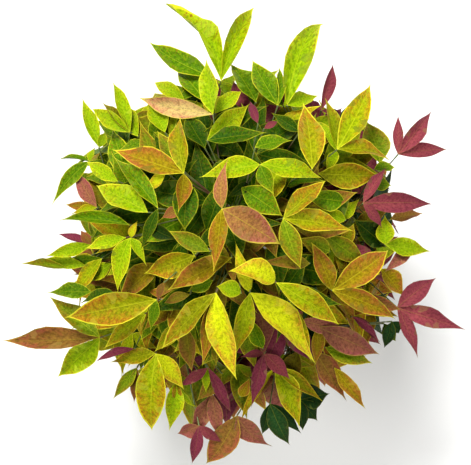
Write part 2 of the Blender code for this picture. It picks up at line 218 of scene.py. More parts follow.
# Sprays that show in the photograph, the uppermost first: the joint, then each leaflet's tip, its width
# and its tint, all in pixels right and down. A fifth number bends the leaflet to its left, as a share of its
# length, a sixth is its arch in degrees, and a seventh its taper.
# Leaflets that lie in shadow take the darker tints, which paint their shade.
PICTURE_SPRAYS = (
    ((222, 207), (229, 156, 15, "rose", -0.3), (281, 243, 33, "rose"), (213, 273, 19, "tawny")),
    ((184, 172), (112, 148, 27, "tawny"), (181, 115, 20, "amber"), (178, 212, 19, "tawny")),
    ((166, 171), (148, 191, 12, "yellow", 0.12)),
    ((275, 280), (228, 270, 27, "yellow", 0.08, 95)),
    ((250, 291), (316, 363, 34, "yellow")),
    ((260, 163), (199, 176, 24, "lime", -0.1), (323, 177, 21, "lime", 0.08), (274, 193, 17, "green")),
    ((241, 186), (283, 215, 27, "green")),
    ((283, 217), (326, 179, 20, "amber"), (355, 230, 25, "amber", -0.06), (301, 268, 22, "olive")),
    ((332, 289), (311, 240, 20, "tawny", 0.08), (389, 248, 27, "tawny", 0.1), (396, 318, 22, "tawny")),
    ((216, 291), (161, 348, 23, "amber"), (237, 379, 29, "yellow")),
    ((214, 298), (202, 366, 18, "tawny")),
    ((250, 291), (234, 355, 20, "gold"), (235, 239, 15, "yellow")),
    ((232, 256), (167, 289, 26, "tawny")),
    ((156, 352), (152, 429, 31, "gold"), (184, 388, 19, "yellow"), (109, 361, 17, "amber")),
    ((337, 148), (325, 96, 14, "gold"), (371, 81, 26, "gold", 0.08), (390, 159, 19, "amber", -0.12)),
    ((264, 352), (251, 407, 15, "plum"), (291, 379, 16, "burgundy"), (240, 356, 9, "burgundy")),
    ((276, 281), (339, 323, 24, "gold")),
    ((207, 139), (250, 102, 26, "lime"), (267, 131, 20, "shade")),
    ((213, 113), (206, 56, 21, "lime"), (138, 96, 20, "pale", -0.1)),
    ((221, 80), (165, 2, 22, "lime", 0.46, 30, 1.0), (255, 5, 18, "lime", -0.15)),
    ((157, 298), (65, 316, 33, "amber"), (150, 330, 12, "green")),
    ((363, 202), (387, 165, 12, "burgundy"), (434, 203, 21, "burgundy", -0.07), (382, 227, 12, "burgundy")),
    (
        (398, 153), (398, 113, 11, "burgundy"),
        (432, 109, 17, "burgundy", -0.05), (447, 148, 16, "burgundy", -0.05),
    ),
    ((397, 306), (437, 276, 20, "burgundy", -0.06), (468, 329, 20, "burgundy"), (418, 357, 15, "burgundy")),
    ((158, 207), (113, 155, 19, "green", -0.08), (140, 250, 12, "shade")),
    ((312, 168), (303, 101, 28, "amber")),
    ((318, 172), (381, 174, 27, "amber")),
    ((100, 336), (2, 339, 23, "russet", -0.08), (57, 376, 28, "lime"), (48, 294, 22, "olive")),
    ((287, 104), (325, 22, 27, "lime", -0.25), (319, 94, 17, "lime")),
    ((278, 104), (252, 58, 24, "green", -0.1), (279, 65, 10, "green")),
    ((256, 101), (230, 62, 24, "green", 0.1)),
    ((212, 76), (148, 39, 24, "green", -0.3)),
    ((205, 100), (176, 68, 25, "green")),
    ((321, 109), (333, 62, 12, "burgundy"), (309, 98, 7, "plum"), (342, 111, 6, "plum")),
    ((190, 182), (185, 230, 27, "shade", 0.1)),
    ((281, 166), (252, 214, 30, "gold")),
    ((184, 170), (157, 129, 21, "olive")),
    ((199, 424), (192, 462, 13, "plum"), (177, 432, 16, "mauve"), (222, 441, 11, "burgundy")),
    ((237, 414), (206, 462, 28, "russet", -0.2), (273, 445, 23, "mauve", 0.5)),
    ((208, 366), (177, 386, 11, "burgundy"), (231, 411, 12, "plum", 0.06)),
    ((131, 236), (118, 292, 21, "lime", 0.35), (147, 265, 11, "lime"), (138, 219, 8, "yellow")),
    ((195, 254), (144, 272, 26, "amber")),
    ((130, 224), (58, 219, 14, "green")),
    ((126, 236), (86, 247, 14, "lime")),
    ((130, 131), (112, 79, 14, "lime"), (92, 107, 17, "lime"), (101, 100, 10, "olive")),
    ((165, 131), (147, 101, 20, "lime")),
    ((185, 100), (154, 81, 15, "lime")),
    ((138, 135), (121, 99, 20, "lime")),
    ((99, 146), (82, 95, 15, "lime", -0.1), (105, 131, 10, "lime")),
    ((90, 160), (51, 205, 16, "green", 0.3), (95, 146, 9, "lime"), (60, 157, 6, "green")),
    ((118, 180), (86, 160, 15, "lime")),
    ((97, 206), (76, 169, 16, "mauve"), (65, 203, 10, "tawny"), (71, 213, 8, "gold")),
    ((91, 243), (57, 232, 9, "plum"), (80, 228, 10, "russet"), (44, 255, 14, "lime")),
    ((68, 267), (21, 262, 9, "olive")),
    ((86, 264), (43, 257, 13, "lime")),
    ((102, 257), (73, 297, 17, "gold"), (56, 262, 14, "green")),
    ((92, 291), (46, 291, 18, "green")),
    ((210, 250), (168, 229, 17, "olive")),
    ((385, 243), (432, 250, 20, "lime", 0.05), (385, 213, 19, "lime")),
    ((412, 244), (384, 271, 14, "mauve")),
    ((390, 218), (423, 212, 15, "russet", 0.1)),
    ((381, 267), (404, 295, 22, "tawny")),
    ((380, 162), (365, 118, 28, "olive")),
    ((374, 168), (395, 166, 13, "green")),
    ((372, 182), (392, 184, 15, "green")),
    ((392, 320), (384, 347, 13, "old"), (399, 332, 14, "old")),
    ((384, 322), (396, 340, 14, "shade")),
    ((318, 325), (380, 353, 26, "mauve"), (315, 365, 14, "tawny")),
    ((315, 350), (347, 400, 25, "russet")),
    ((334, 366), (366, 408, 15, "tawny", 0.1)),
    ((325, 346), (373, 362, 21, "olive")),
    ((352, 315), (375, 339, 11, "plum"), (380, 341, 8, "plum")),
    ((275, 366), (300, 428, 25, "gold"), (324, 401, 15, "amber"), (241, 420, 9, "yellow", 0.14)),
    ((176, 380), (169, 430, 19, "lime"), (197, 406, 8, "lime"), (176, 410, 10, "tawny")),
    ((207, 366), (206, 392, 9, "lime")),
    ((300, 398), (330, 392, 26, "old"), (318, 420, 20, "old"), (303, 429, 15, "old")),
    ((270, 402), (290, 444, 20, "old"), (262, 433, 16, "old"), (302, 433, 13, "old")),
    ((135, 347), (96, 360, 9, "plum")),
    ((137, 366), (134, 402, 11, "russet"), (112, 399, 13, "olive")),
    ((212, 392), (221, 438, 16, "mauve"), (190, 437, 20, "mauve")),
    ((241, 292), (216, 285, 18, "lime")),
    ((283, 104), (275, 79, 9, "burgundy"), (263, 88, 14, "shade")),
    ((258, 122), (250, 99, 9, "plum")),
    ((264, 127), (278, 120, 7, "burgundy")),
    ((255, 146), (293, 139, 18, "green")),
    ((205, 147), (184, 112, 22, "shade")),
    ((215, 112), (243, 89, 17, "lime")),
    ((340, 128), (348, 103, 9, "old")),
    ((336, 149), (318, 120, 12, "lime"), (326, 176, 12, "lime")),
    ((385, 245), (352, 217, 26, "deep")),
    ((366, 257), (367, 232, 8, "plum")),
    ((326, 234), (365, 262, 22, "olive"), (333, 266, 13, "lime")),
    ((160, 262), (117, 299, 27, "tawny")),
    ((210, 248), (232, 262, 16, "olive")),
    ((164, 281), (157, 301, 9, "russet")),
    ((213, 279), (186, 291, 15, "green")),
    ((310, 262), (254, 261, 15, "dim")),
    ((345, 200), (300, 192, 22, "green")),
    ((346, 219), (316, 207, 15, "lime")),
    ((330, 250), (296, 236, 20, "olive")),
    ((248, 182), (226, 196, 12, "deep")),
    ((300, 318), (351, 331, 16, "mauve")),
    ((290, 300), (312, 361, 16, "gold")),
    ((263, 347), (249, 314, 16, "green")),
    ((186, 325), (192, 371, 19, "dim")),
    ((190, 293), (164, 302, 11, "dim")),
    ((355, 294), (401, 308, 17, "russet")),
    ((145, 312), (104, 347, 16, "gold")),
    ((298, 350), (288, 385, 21, "dim")),
    ((222, 372), (196, 400, 17, "dim")),
    ((240, 395), (250, 376, 12, "tawny")),
    ((158, 182), (118, 166, 24, "shade")),
    ((180, 207), (161, 217, 12, "russet")),
    ((115, 292), (80, 302, 16, "shade")),
    ((150, 225), (178, 238, 15, "deep")),
    ((148, 211), (96, 184, 27, "lime")),
    ((178, 98), (208, 84, 13, "green")),
    ((300, 130), (271, 111, 13, "shade")),
    ((172, 180), (198, 158, 14, "shade")),
    ((112, 262), (84, 282, 16, "lime")),
    ((340, 285), (372, 300, 16, "olive")),
)

# The plant's outline in the photograph without the lone leaflets that stand out from it, clockwise from
# the top.
BODY = (
    (221, 78), (232, 63), (246, 80), (253, 60), (264, 70), (279, 66), (286, 84), (300, 98),
    (318, 94), (323, 105), (346, 107), (357, 118), (371, 118), (384, 130), (388, 150), (394, 166),
    (391, 182), (396, 206), (398, 232), (404, 242), (400, 256), (384, 272), (404, 294), (396, 302),
    (400, 318), (390, 335), (378, 350), (368, 360), (344, 366), (330, 384), (326, 398), (314, 420),
    (300, 433), (284, 440), (266, 432), (250, 420), (232, 424), (214, 440), (196, 436), (178, 432),
    (184, 412), (168, 428), (158, 402), (140, 398), (130, 376), (114, 396), (118, 372), (110, 360),
    (98, 352), (74, 360), (84, 340), (66, 326), (64, 314), (84, 306), (50, 295), (74, 284),
    (66, 268), (50, 258), (84, 244), (84, 228), (76, 214), (82, 190), (64, 180), (72, 164),
    (88, 154), (98, 140), (88, 122), (86, 102), (104, 100), (118, 96), (132, 112), (148, 103),
    (158, 84), (176, 90), (178, 74), (164, 52), (190, 52), (206, 60),
)

# Tints of the outer sprays by the bearing that their side of the crown faces, and of the inner ones.
SIDE_TINTS = {
    90: ("lime", "lime", "green", "gold", "burgundy"),
    45: ("gold", "lime", "amber", "burgundy", "green"),
    5: ("burgundy", "old", "burgundy", "lime", "russet"),
    -40: ("amber", "mauve", "old", "burgundy", "tawny"),
    -85: ("russet", "mauve", "olive", "tawny", "plum"),
    -130: ("gold", "amber", "tawny", "russet", "green"),
    180: ("lime", "olive", "amber", "russet", "green"),
    135: ("lime", "green", "olive", "lime", "green"),
}
# Tints below the outer sprays, for the sides round the bearings -45 and 135, and the innermost ones.
# They are darker tints that paint the shade on blades deeper in the crown.
UNDER_TINTS = (("olive", "shade", "dim", "shade", "dim"), ("shade", "green", "shade", "shade", "shade"))
INNER_TINTS = ("shade", "deep", "deep")
UNDER_SIDE = -45
# Each tint: its leaflets, its colour by the midrib and the base, its colour at the edge and the tip, its
# finish slot, how much of its pale margin (partly a painted highlight along the edge) shows, and its
# roughness.
TINTS = {
    "lime": ("Young sunlit blades", "#98BC04", "#C0CC0C", "leaves_lime", 0.8, 0.46),
    "yellow": ("The ripest pale blades", "#D6DE10", "#D69C28", "leaves_lime", 0.8, 0.46),
    "gold": ("Blades on the turn", "#9CAE02", "#BE9410", "leaves_lime", 0.8, 0.46),
    "green": ("Grown blades", "#5C8802", "#7A9E06", "leaves_green", 0.7, 0.42),
    "olive": ("Green blades with brown edges", "#76900A", "#9A7E1C", "leaves_green", 0.55, 0.44),
    # Painted shade: the next three tints are darker copies of the green and the tawny, for blades inside the
    # crown.
    "shade": ("Blades inside the crown", "#2E5602", "#426606", "leaves_green", 0.3, 0.40),
    "deep": ("Blades in the middle of the crown", "#163402", "#203C04", "leaves_green", 0.1, 0.42),
    "dim": ("Turned blades inside the crown", "#807414", "#8E5828", "leaves_amber", 0.3, 0.48),
    "old": ("Last year's dark blades", "#24481E", "#1A3618", "leaves_green", 0.08, 0.30),
    "amber": ("Blades half turned", "#969C04", "#BC7E1A", "leaves_amber", 0.75, 0.46),
    "tawny": ("Brown gold blades", "#988208", "#B2602C", "leaves_amber", 0.6, 0.48),
    "rose": ("Pink blades with gold at the base", "#B47C42", "#C86E62", "leaves_rose", 0.6, 0.48),
    "pale": ("Bleached blades", "#E2C478", "#D68C6C", "leaves_rose", 0.6, 0.50),
    "russet": ("Red brown blades", "#90682A", "#A4523C", "leaves_rose", 0.25, 0.50),
    "mauve": ("Dull pink blades", "#9A5E44", "#A65254", "leaves_rose", 0.2, 0.50),
    "plum": ("Dark crimson blades", "#883848", "#7A2E44", "leaves_rose", 0.06, 0.46),
    "burgundy": ("New growth", "#98444A", "#8A3648", "leaves_young", 0.06, 0.50),
}


def linear(hex_colour):
    """Turns an sRGB hex colour into the linear values that a shader takes."""
    channels = [int(hex_colour[i : i + 2], 16) / 255 for i in (1, 3, 5)]
    return tuple(c / 12.92 if c <= 0.04045 else ((c + 0.055) / 1.055) ** 2.4 for c in channels)


def colour(name, description, hex_colour):
    return FloatVectorProperty(
        name=name, description=description, default=linear(hex_colour), subtype="COLOR", min=0, max=1
    )


class CrownSizes(bpy.types.PropertyGroup):
    """The shell that the joints of the outer sprays lie on."""

    seed: IntProperty(name="Seed", description="Picks how the sprays fall", default=3, min=0)
    side: FloatProperty(
        name="Half width", description="From the middle to the shell's side", default=0.112, unit="LENGTH"
    )
    rise: FloatProperty(
        name="Rise", description="From the middle to the shell's top", default=0.122, unit="LENGTH"
    )
    drop: FloatProperty(
        name="Drop", description="From the middle to the shell's lowest place", default=0.094, unit="LENGTH"
    )


class LimbSizes(bpy.types.PropertyGroup):
    """The short stem and the canes."""

    stem_height: FloatProperty(
        name="Stem height", description="The short stem's top", default=0.036, unit="LENGTH"
    )
    stem_radius: FloatProperty(
        name="Stem radius", description="The short stem above its flare", default=0.016, unit="LENGTH"
    )
    cane_foot: FloatProperty(
        name="Cane foot", description="A cane's radius at the stem", default=0.0044, unit="LENGTH"
    )
    cane_tip: FloatProperty(
        name="Cane tip", description="A cane's radius where its mass begins", default=0.0029, unit="LENGTH"
    )


class BladeSizes(bpy.types.PropertyGroup):
    """One leaflet, as shares of its length."""

    width: FloatProperty(name="Width", description="Width as a share of the length", default=0.385)
    thickness: FloatProperty(
        name="Thickness", description="Of the blade beside its midrib", default=0.00045, unit="LENGTH"
    )
    fold: FloatProperty(
        name="Fold", description="Angle that each half rises by", default=math.radians(19), unit="ROTATION"
    )
    droop: FloatProperty(
        name="Droop", description="Angle a blade bends down by", default=math.radians(26), unit="ROTATION"
    )


class LeafColours(bpy.types.PropertyGroup):
    """The marks that the tints share. Each tint's blade and edge are added below."""

    # The pale rim colour, which also paints the highlight that a blade's edge catches.
    margin: colour("Margin", "The thin pale rim of a blade", "#ECE830")
    freckle: colour("Freckle", "Brown specks on a turned blade", "#9A5018")


LeafColours.__annotations__.update({
    name: colour(name.replace("_", " ").capitalize(), description, hex_colour)
    for tint, (about, blade, edge, *_) in TINTS.items()
    for name, description, hex_colour in ((tint, about, blade), (f"{tint}_edge", "Their edges", edge))
})


class BarkColours(bpy.types.PropertyGroup):
    """The short stem, the canes and the stalks."""

    stem: colour("Stem bark", "Corky ridges of the short stem", "#7B6850")
    stem_cracks: colour("Stem cracks", "Between the ridges", "#3A2C20")
    cane: colour("Cane bark", "Ribs of a cane", "#8A7354")
    cane_furrows: colour("Cane furrows", "Between the ribs", "#4E3C28")
    stalk: colour("Stalk", "Green side of a leaf stalk", "#65743A")
    stalk_blush: colour("Stalk blush", "Red side of a leaf stalk", "#6A4430")


class StageLook(bpy.types.PropertyGroup):
    """The floor and the camera."""

    floor: colour("Floor", "Matt floor", "#FCFCFA")
    camera_height: FloatProperty(
        name="Camera height", description="Angle above level", default=math.radians(78), unit="ROTATION"
    )
    camera_reach: FloatProperty(
        name="Camera reach", description="Distance from the crown", default=1.4, unit="LENGTH"
    )


def fill(made, inputs):
    """Sets or links a node's inputs by name or number."""
    for key, value in inputs.items():
        if isinstance(value, bpy.types.NodeSocket):
            made.id_data.links.new(value, made.inputs[key])
        else:
            made.inputs[key].default_value = value


def node(tree, kind, *inputs, out=0, named=(), **settings):
    """Adds a node with its settings and inputs, in order or named, and gives one output, or all for None."""
    made = tree.nodes.new(kind if "Node" in kind else f"ShaderNode{kind}")
    for name, value in settings.items():
        setattr(made, name, value)
    fill(made, {**dict(enumerate(inputs)), **dict(named)})
    return made.outputs if out is None else made.outputs[out]


def new_object(name, mesh):
    made = bpy.data.objects.new(name, mesh)
    bpy.context.scene.collection.objects.link(made)
    return made


def new_mesh(name, points, faces, edges=()):
    mesh = bpy.data.meshes.new(name)
    mesh.from_pydata([tuple(p) for p in points], list(edges), faces, shade_flat=False)
    mesh.update()
    return mesh


def store(mesh, name, values, kind="FLOAT_VECTOR", domain="POINT"):
    """Keeps one value for each point or face of a mesh under a name."""
    layer = mesh.attributes.new(name, kind, domain)
    field = "vector" if kind == "FLOAT_VECTOR" else "value"
    layer.data.foreach_set(field, np.asarray(values, dtype=np.float32).ravel())


def grown(name, mesh, tree, **values):
    """The plain mesh that a node tree makes of a mesh, with the tree's inputs set by name."""
    made = new_object(name, mesh)
    modifier = made.modifiers.new("grow", "NODES")
    modifier.node_group = tree
    for socket in tree.interface.items_tree:
        if socket.item_type == "SOCKET" and socket.in_out == "INPUT" and socket.name in values:
            modifier[socket.identifier] = values[socket.name]
    made.update_tag()
    graph = bpy.context.evaluated_depsgraph_get()
    result = bpy.data.meshes.new_from_object(made.evaluated_get(graph))
    result.name = name
    made.modifiers.remove(modifier)
    made.data = result
    return made


def hand_in(piece, slot, *nodes):
    """Says what a finished piece moves with and stands for; the slot argument is not used."""
    if not piece.data.polygons:
        raise RuntimeError(f"{piece.name} came out empty")
    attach(piece, "root")
    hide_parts(*nodes)


def bearing(degrees, rise=0.0):
    """The unit vector at this angle from east towards north, raised by rise degrees."""
    turn, lift = math.radians(degrees), math.radians(rise)
    return Vector((math.cos(turn) * math.cos(lift), math.sin(turn) * math.cos(lift), math.sin(lift)))


def bent(start, middle, end, steps):
    """Points along the smooth bend from start to end that is pulled towards middle."""
    shares = [i / steps for i in range(steps + 1)]
    return [start * (1 - t) ** 2 + middle * 2 * t * (1 - t) + end * t * t for t in shares]


def at_share(path, share):
    """The place at this share of the way along a path whose points are evenly spaced."""
    run = min(max(share, 0), 1) * (len(path) - 1)
    i = min(int(run), len(path) - 2)
    return path[i].lerp(path[i + 1], run - i)


class Limb:
    """One cane with the stem that carries on from it through its mass."""

    def __init__(self, name, foot, bow, middle):
        self.name = name
        self.middle = middle
        path = bent(foot, bow, middle, PATH_STEPS)
        last = round(PATH_STEPS * CANE_SHARE)
        self.cane = path[: last + 1]
        self.stem = path[last:]


def all_limbs():
    """The upright cane and the ring of leaning ones."""
    found = [Limb("top", UP * TOP_FOOT, TOP_BOW, UP * TOP_HEIGHT)]
    for i, (name, turn) in enumerate(RING.items()):
        out = bearing(turn)
        sway = 1 if i % 2 else -1
        reach = RING_LEAN[0] + sway * RING_LEAN_CHANGE[0]
        height = RING_LEAN[1] - sway * RING_LEAN_CHANGE[1]
        foot = out * RING_FOOT[0] + UP * RING_FOOT[1]
        bow = out * RING_BOW[0] + UP * RING_BOW[1]
        found.append(Limb(name, foot, bow, out * reach + UP * height))
    return found


def broadest(taper):
    """The largest value of the outline's rule for a taper."""
    share = SWELL / (SWELL + taper)
    return share**SWELL * (1 - share) ** taper


def axes(along, facing):
    """The turn that lays a blade in one direction with its upper face towards another."""
    across = facing.cross(along).normalized()
    return Matrix((along, across, along.cross(across))).transposed()


class View:
    """The camera that sees the plant as the photograph does."""

    def __init__(self, look):
        lean = look.camera_height
        self.ahead = Vector((0, math.cos(lean), -math.sin(lean)))
        self.up = Vector((0, math.sin(lean), math.cos(lean)))
        self.eye = AIM - self.ahead * look.camera_reach
        self.step = SENSOR / LENS / FRAME[0]

    def at_height(self, right, down, height):
        """The place at this height that shows at these pixels."""
        ray = self.ahead + EAST * (right - FRAME[0] / 2) * self.step
        ray += self.up * (FRAME[1] / 2 - down) * self.step
        return self.eye + ray * ((height - self.eye.z) / ray.z)

    def pixels(self, place):
        """Where a place shows, in pixels right and down."""
        off = place - self.eye
        scale = self.step * off.dot(self.ahead)
        return FRAME[0] / 2 + off.x / scale, FRAME[1] / 2 - off.dot(self.up) / scale


def shell_height(crown, place):
    """How high the top of the crown's shell is over a place."""
    share = math.hypot(place.x, place.y) / crown.side
    near = min(share, SHELL_EDGE)
    past = (share - near) * crown.side
    return CROWN_MIDDLE.z + crown.rise * math.sqrt(1 - near * near) - past * EDGE_SLOPE


def on_shell(crown, view, right, down, sink, start=None):
    """The place that shows at these pixels, sunk below the crown's shell, and within reach of a start."""
    place = view.at_height(right, down, CROWN_MIDDLE.z)
    for _ in range(SEARCH_STEPS):
        height = shell_height(crown, place) - sink
        if start:
            run = math.hypot(place.x - start.x, place.y - start.y)
            low, high = (start.z + run * math.tan(math.radians(angle)) for angle in STEEPEST)
            height = min(max(height, low), high)
        place = view.at_height(right, down, height)
    return place


class Leaflet:
    """One blade: the direction it is aimed in, its size, and how it is bent."""

    def __init__(self, heading, length, tint, blade, dice):
        self.heading = heading
        self.length = length
        self.tint = tint
        self.roll = dice.gauss(0, ROLL_SPREAD)
        self.width = blade.width * length * dice.uniform(*WIDTH_RANGE)
        self.fold = blade.fold * dice.uniform(*FOLD_RANGE)
        self.droop = max(blade.droop * dice.gauss(1, DROOP_SPREAD), LEAST_DROOP)
        self.twist = dice.gauss(0, TWIST_SPREAD)
        self.sweep = dice.gauss(0, SWEEP_SPREAD)
        self.wave = dice.uniform(*WAVE_RANGE)
        self.phase = dice.uniform(0, math.tau)
        self.tile = (dice.randrange(TILES), dice.randrange(1, TILES), dice.randrange(TILES))
        self.taper = TAPER + dice.uniform(-1, 1) * TAPER_CHANGE

    def lay(self, base, along, facing, size):
        """Fixes where the blade springs from and how it lies, at a share of its full size."""
        self.base = base
        self.size = size
        self.turn = axes(along, Matrix.Rotation(self.roll, 3, along) @ facing)

    def span(self, base, tip, shown):
        """Lays the blade from its joint to its tip, folded until it shows this width from above."""
        chord = tip - base
        self.base, self.size, self.turn = Vector(), 1.0, Matrix.Identity(3)
        self.length = chord.length
        self.width = max(shown * FOLD_SPARE, NARROWEST * self.length)
        self.fold = max(self.fold, math.acos(min(shown / self.width, 1)))
        own = self.place(0, 1)
        self.length *= chord.length / own.length
        facing = Matrix.Rotation(self.roll, 3, chord) @ UP
        self.turn = axes(chord.normalized(), facing) @ axes(own.normalized(), UP).transposed()
        self.base = base

    def numbers(self):
        """The values that the blade is bent by: its spans, its bends and its sway."""
        side = self.width * self.size / 2
        length = self.length * self.size
        spans = (side * math.cos(self.fold), side * math.sin(self.fold), 0)
        bends = (self.droop, self.twist, length / self.droop)
        sway = (self.sweep * length, self.wave * length, self.phase)
        return spans, bends, sway

    def place(self, across, share):
        """The place on the blade at across, from -1 to 1, and a share of its length."""
        spans, (droop, twist, radius), (sweep, wave, phase) = self.numbers()
        half = share**SWELL * (1 - share) ** self.taper / broadest(self.taper)
        side = across * half * spans[0] + sweep * share * share
        lift = abs(across) ** FOLD_ROUNDING * half
        rise = lift * spans[1] + lift * wave * math.sin(share * WAVE_BEAT + phase)
        c, s = math.cos(twist * share), math.sin(twist * share)
        side, rise = side * c - rise * s, side * s + rise * c + radius
        c, s = math.cos(droop * share), math.sin(droop * share)
        return self.base + self.turn @ Vector((rise * s, side, rise * c - radius))


class Spray:
    """Three leaflets on one joint, where the side ones are a share of the middle one's length."""

    def __init__(self, place, heading, length, tint, blade, dice):
        self.place = place
        spread = SPREAD + dice.uniform(-SPREAD_CHANGE, SPREAD_CHANGE)
        short = length * SIDE_SIZE
        self.roll = dice.uniform(-SPRAY_ROLL, SPRAY_ROLL)
        self.lift = dice.uniform(-SPRAY_LIFT, SPRAY_LIFT)
        sizes = ((heading, length), (heading + spread, short), (heading - spread, short))
        self.leaflets = [Leaflet(*size, tint, blade, dice) for size in sizes]
        out = place - CROWN_MIDDLE
        self.round_crown = math.degrees(math.atan2(out.y, out.x))
        self.polar = math.degrees(math.atan2(math.hypot(out.x, out.y), out.z))
        self.facing = bearing(self.round_crown, 90 - FACING_FOLLOWED * self.polar)
        self.grown = []

    def lie(self, heading, tilt, droop):
        """The direction and the facing of a leaflet, which follow the crown's slope in part."""
        slope = self.polar * math.cos(math.radians(heading - self.round_crown))
        rise = TOP_RISE + self.lift + tilt - SLOPE_FOLLOWED * slope + math.degrees(droop) * DROOP_RAISED
        along = bearing(heading, rise)
        return along, Matrix.Rotation(math.radians(self.roll), 3, along) @ self.facing


class PictureSpray:
    """A spray that shows in the photograph, whose leaflets span the crown's shell from joint to tip."""

    def __init__(self, row, crown, view, blade, dice):
        joint, *tips = row
        self.joint = (joint[0], joint[1] + ARCH_SHOWN)
        self.tips = [(right, down + ARCH_SHOWN, *rest) for right, down, *rest in tips]
        self.crown, self.view = crown, view
        self.leaflets = []
        for tip in self.tips:
            leaflet = Leaflet(0, 0, tip[3], blade, dice)
            leaflet.sweep = tip[4] if len(tip) > 4 else leaflet.sweep
            leaflet.droop = math.radians(tip[5]) if len(tip) > 5 else leaflet.droop
            leaflet.taper = tip[6] if len(tip) > 6 else leaflet.taper
            leaflet.dip = dice.gauss(0, DIP_SPREAD)
            self.leaflets.append(leaflet)

    def shapes(self, sink):
        """Lays the spray this far below the shell, each leaflet clear of the ones before it."""
        self.place = on_shell(self.crown, self.view, *self.joint, sink)
        found = []
        for leaflet, (right, down, width, *_) in zip(self.leaflets, self.tips):
            for dip in DIPS:
                tip = on_shell(self.crown, self.view, right, down, sink + dip + leaflet.dip, self.place)
                pixel = self.view.step * (tip - self.view.eye).dot(self.view.ahead)
                leaflet.span(self.place, tip, width * pixel)
                shape = shape_of(leaflet)
                if not crowded(shape, found):
                    break
            found.append(shape)
        return found

    def clashes(self, sink, taken):
        """How badly the leaflets fit this far below the shell, among the ones listed before them."""
        found = self.shapes(sink)
        no_room = sum(crowded(shape, taken) or not inside_reach(shape) for shape in found)
        stalk = [self.place.lerp(CROWN_MIDDLE, share) for share in STALK_SHARES]
        over = self.hides(stalk, 0, taken) + sum(self.hides(shape[0][2:], shape[1], taken) for shape in found)
        return no_room + HIDING_WEIGHT * over

    def hides(self, places, reach, taken):
        """How many of these places lie over a leaflet that the photograph shows above them."""
        middle, flat = places[len(places) // 2], Vector((1, 1, 0))
        near = [other[2] for other in taken if ((middle - other[0][5]) * flat).length < reach + other[1]]
        rays = [(place, place - self.view.eye) for place in places]
        return sum(tree.ray_cast(*ray)[0] is not None for ray in rays for tree in near)

    def settle(self, taken):
        """Lays the spray where most of its leaflets have room, as near to the shell as that allows."""
        best = min(SINKS, key=lambda sink: self.clashes(sink, taken))
        taken += self.shapes(best)
        self.grown = self.leaflets


def dealt_tint(place, layer, dice):
    """The tint of a seeded spray, by the side of the crown that it stands on and its depth, darker deeper in
    as painted shade.
    """
    if layer > 1:
        return dice.choice(INNER_TINTS)
    out = place - CROWN_MIDDLE
    if layer == 1 or out.z > math.hypot(out.x, out.y):
        return dice.choice(UNDER_TINTS[0 if out.dot(bearing(UNDER_SIDE)) > 0 else 1])
    turn = math.degrees(math.atan2(out.y, out.x))
    nearest = min(SIDE_TINTS, key=lambda side: abs((turn - side + 180) % 360 - 180))
    return dice.choice(SIDE_TINTS[nearest])


def seeded_sprays(crown, blade, dice):
    """Sprays spread evenly over each layer of the crown."""
    found = []
    for layer, (size, count, length, lowest) in enumerate(LAYERS):
        lowest_rise = math.cos(math.radians(lowest))
        for i in range(count):
            rise = 1 - (i + 0.5) / count * (1 - lowest_rise)
            flat = math.sqrt(1 - rise * rise) * crown.side
            turn = i * GOLDEN_ANGLE + size * 2
            tall = crown.rise if rise > 0 else crown.drop
            out = Vector((flat * math.cos(turn), flat * math.sin(turn), rise * tall))
            share = size * (1 - TOP_SUNK * max(rise, 0)) * dice.uniform(*DEPTH_RANGE)
            place = CROWN_MIDDLE + out * share
            stray = HEADING_SPREAD[0] + HEADING_SPREAD[1] * max(rise, 0) ** 2
            heading = math.degrees(turn) + dice.gauss(0, stray)
            tint = dealt_tint(place, layer, dice)
            own_length = length * dice.uniform(*LENGTH_RANGE)
            found.append(Spray(place, heading, own_length, tint, blade, dice))
    return found


# Places on a blade that it is tested against its neighbours at, and the faces between them.
TEST_PLACES = ((0, 0.06), *((s, t) for t in (0.25, 0.5, 0.75) for s in (-1, 0, 1)), (0, 1))
TEST_FACES = (
    (0, 2, 1), (0, 3, 2),
    *((a + k, a + k + 1, a + k + 4, a + k + 3) for a in (1, 4) for k in (0, 1)),
    (7, 8, 10), (8, 9, 10),
)
# How far a blade or a stalk reaches from its middle, as a share of its length, with a little to spare.
TEST_REACH = 0.55
# How far a spray's blades may reach from its joint, as a share of its longest one.
NEAR_SHARE = 1.1
# Another turn or tilt of a spray has to leave this much more of it, until all of it has room.
CLEARLY_MORE = 1.05
ALL_OF_IT = 0.999


def shape_of(leaflet):
    """The places that a leaflet is tested at, its reach from its middle, and the tree of its faces."""
    places = [leaflet.place(*where) for where in TEST_PLACES]
    return places, leaflet.length * leaflet.size * TEST_REACH, BVHTree.FromPolygons(places, TEST_FACES)


def crowded(shape, taken):
    """True where a shape runs through another one."""
    places, reach, tree = shape
    return any(
        (places[5] - other[0][5]).length < reach + other[1] and tree.overlap(other[2]) for other in taken
    )


def inside_reach(shape):
    """True where a leaflet keeps inside the plant's box, with a little room past it, and off the ground."""
    low, high = CAD_BOX
    return all(
        place.z > LOWEST_LEAF and all(low[i] - PAST_BOX < place[i] < high[i] + PAST_BOX for i in range(3))
        for place in shape[0][1:]
    )


class Cover:
    """What a seeded leaflet may not do to the photograph: stand out of its outline, or hide its leaflets."""

    def __init__(self, view, sprays):
        self.view = view
        self.body = BVHTree.FromPolygons([(*corner, 0) for corner in BODY], [range(len(BODY))])
        places, faces = [], []
        for spray in sprays:
            for leaflet in spray.grown:
                faces += [tuple(len(places) + v for v in face) for face in TEST_FACES]
                places += shape_of(leaflet)[0]
        self.shown = BVHTree.FromPolygons(places, faces)

    def spoilt(self, shape):
        """True where a leaflet stands out of the outline, or above a leaflet that shows."""
        return any(
            self.body.ray_cast((*self.view.pixels(place), 1), -UP)[0] is None
            or self.shown.ray_cast(place, place - self.view.eye)[0] is not None
            for place in shape[0][1:]
        )


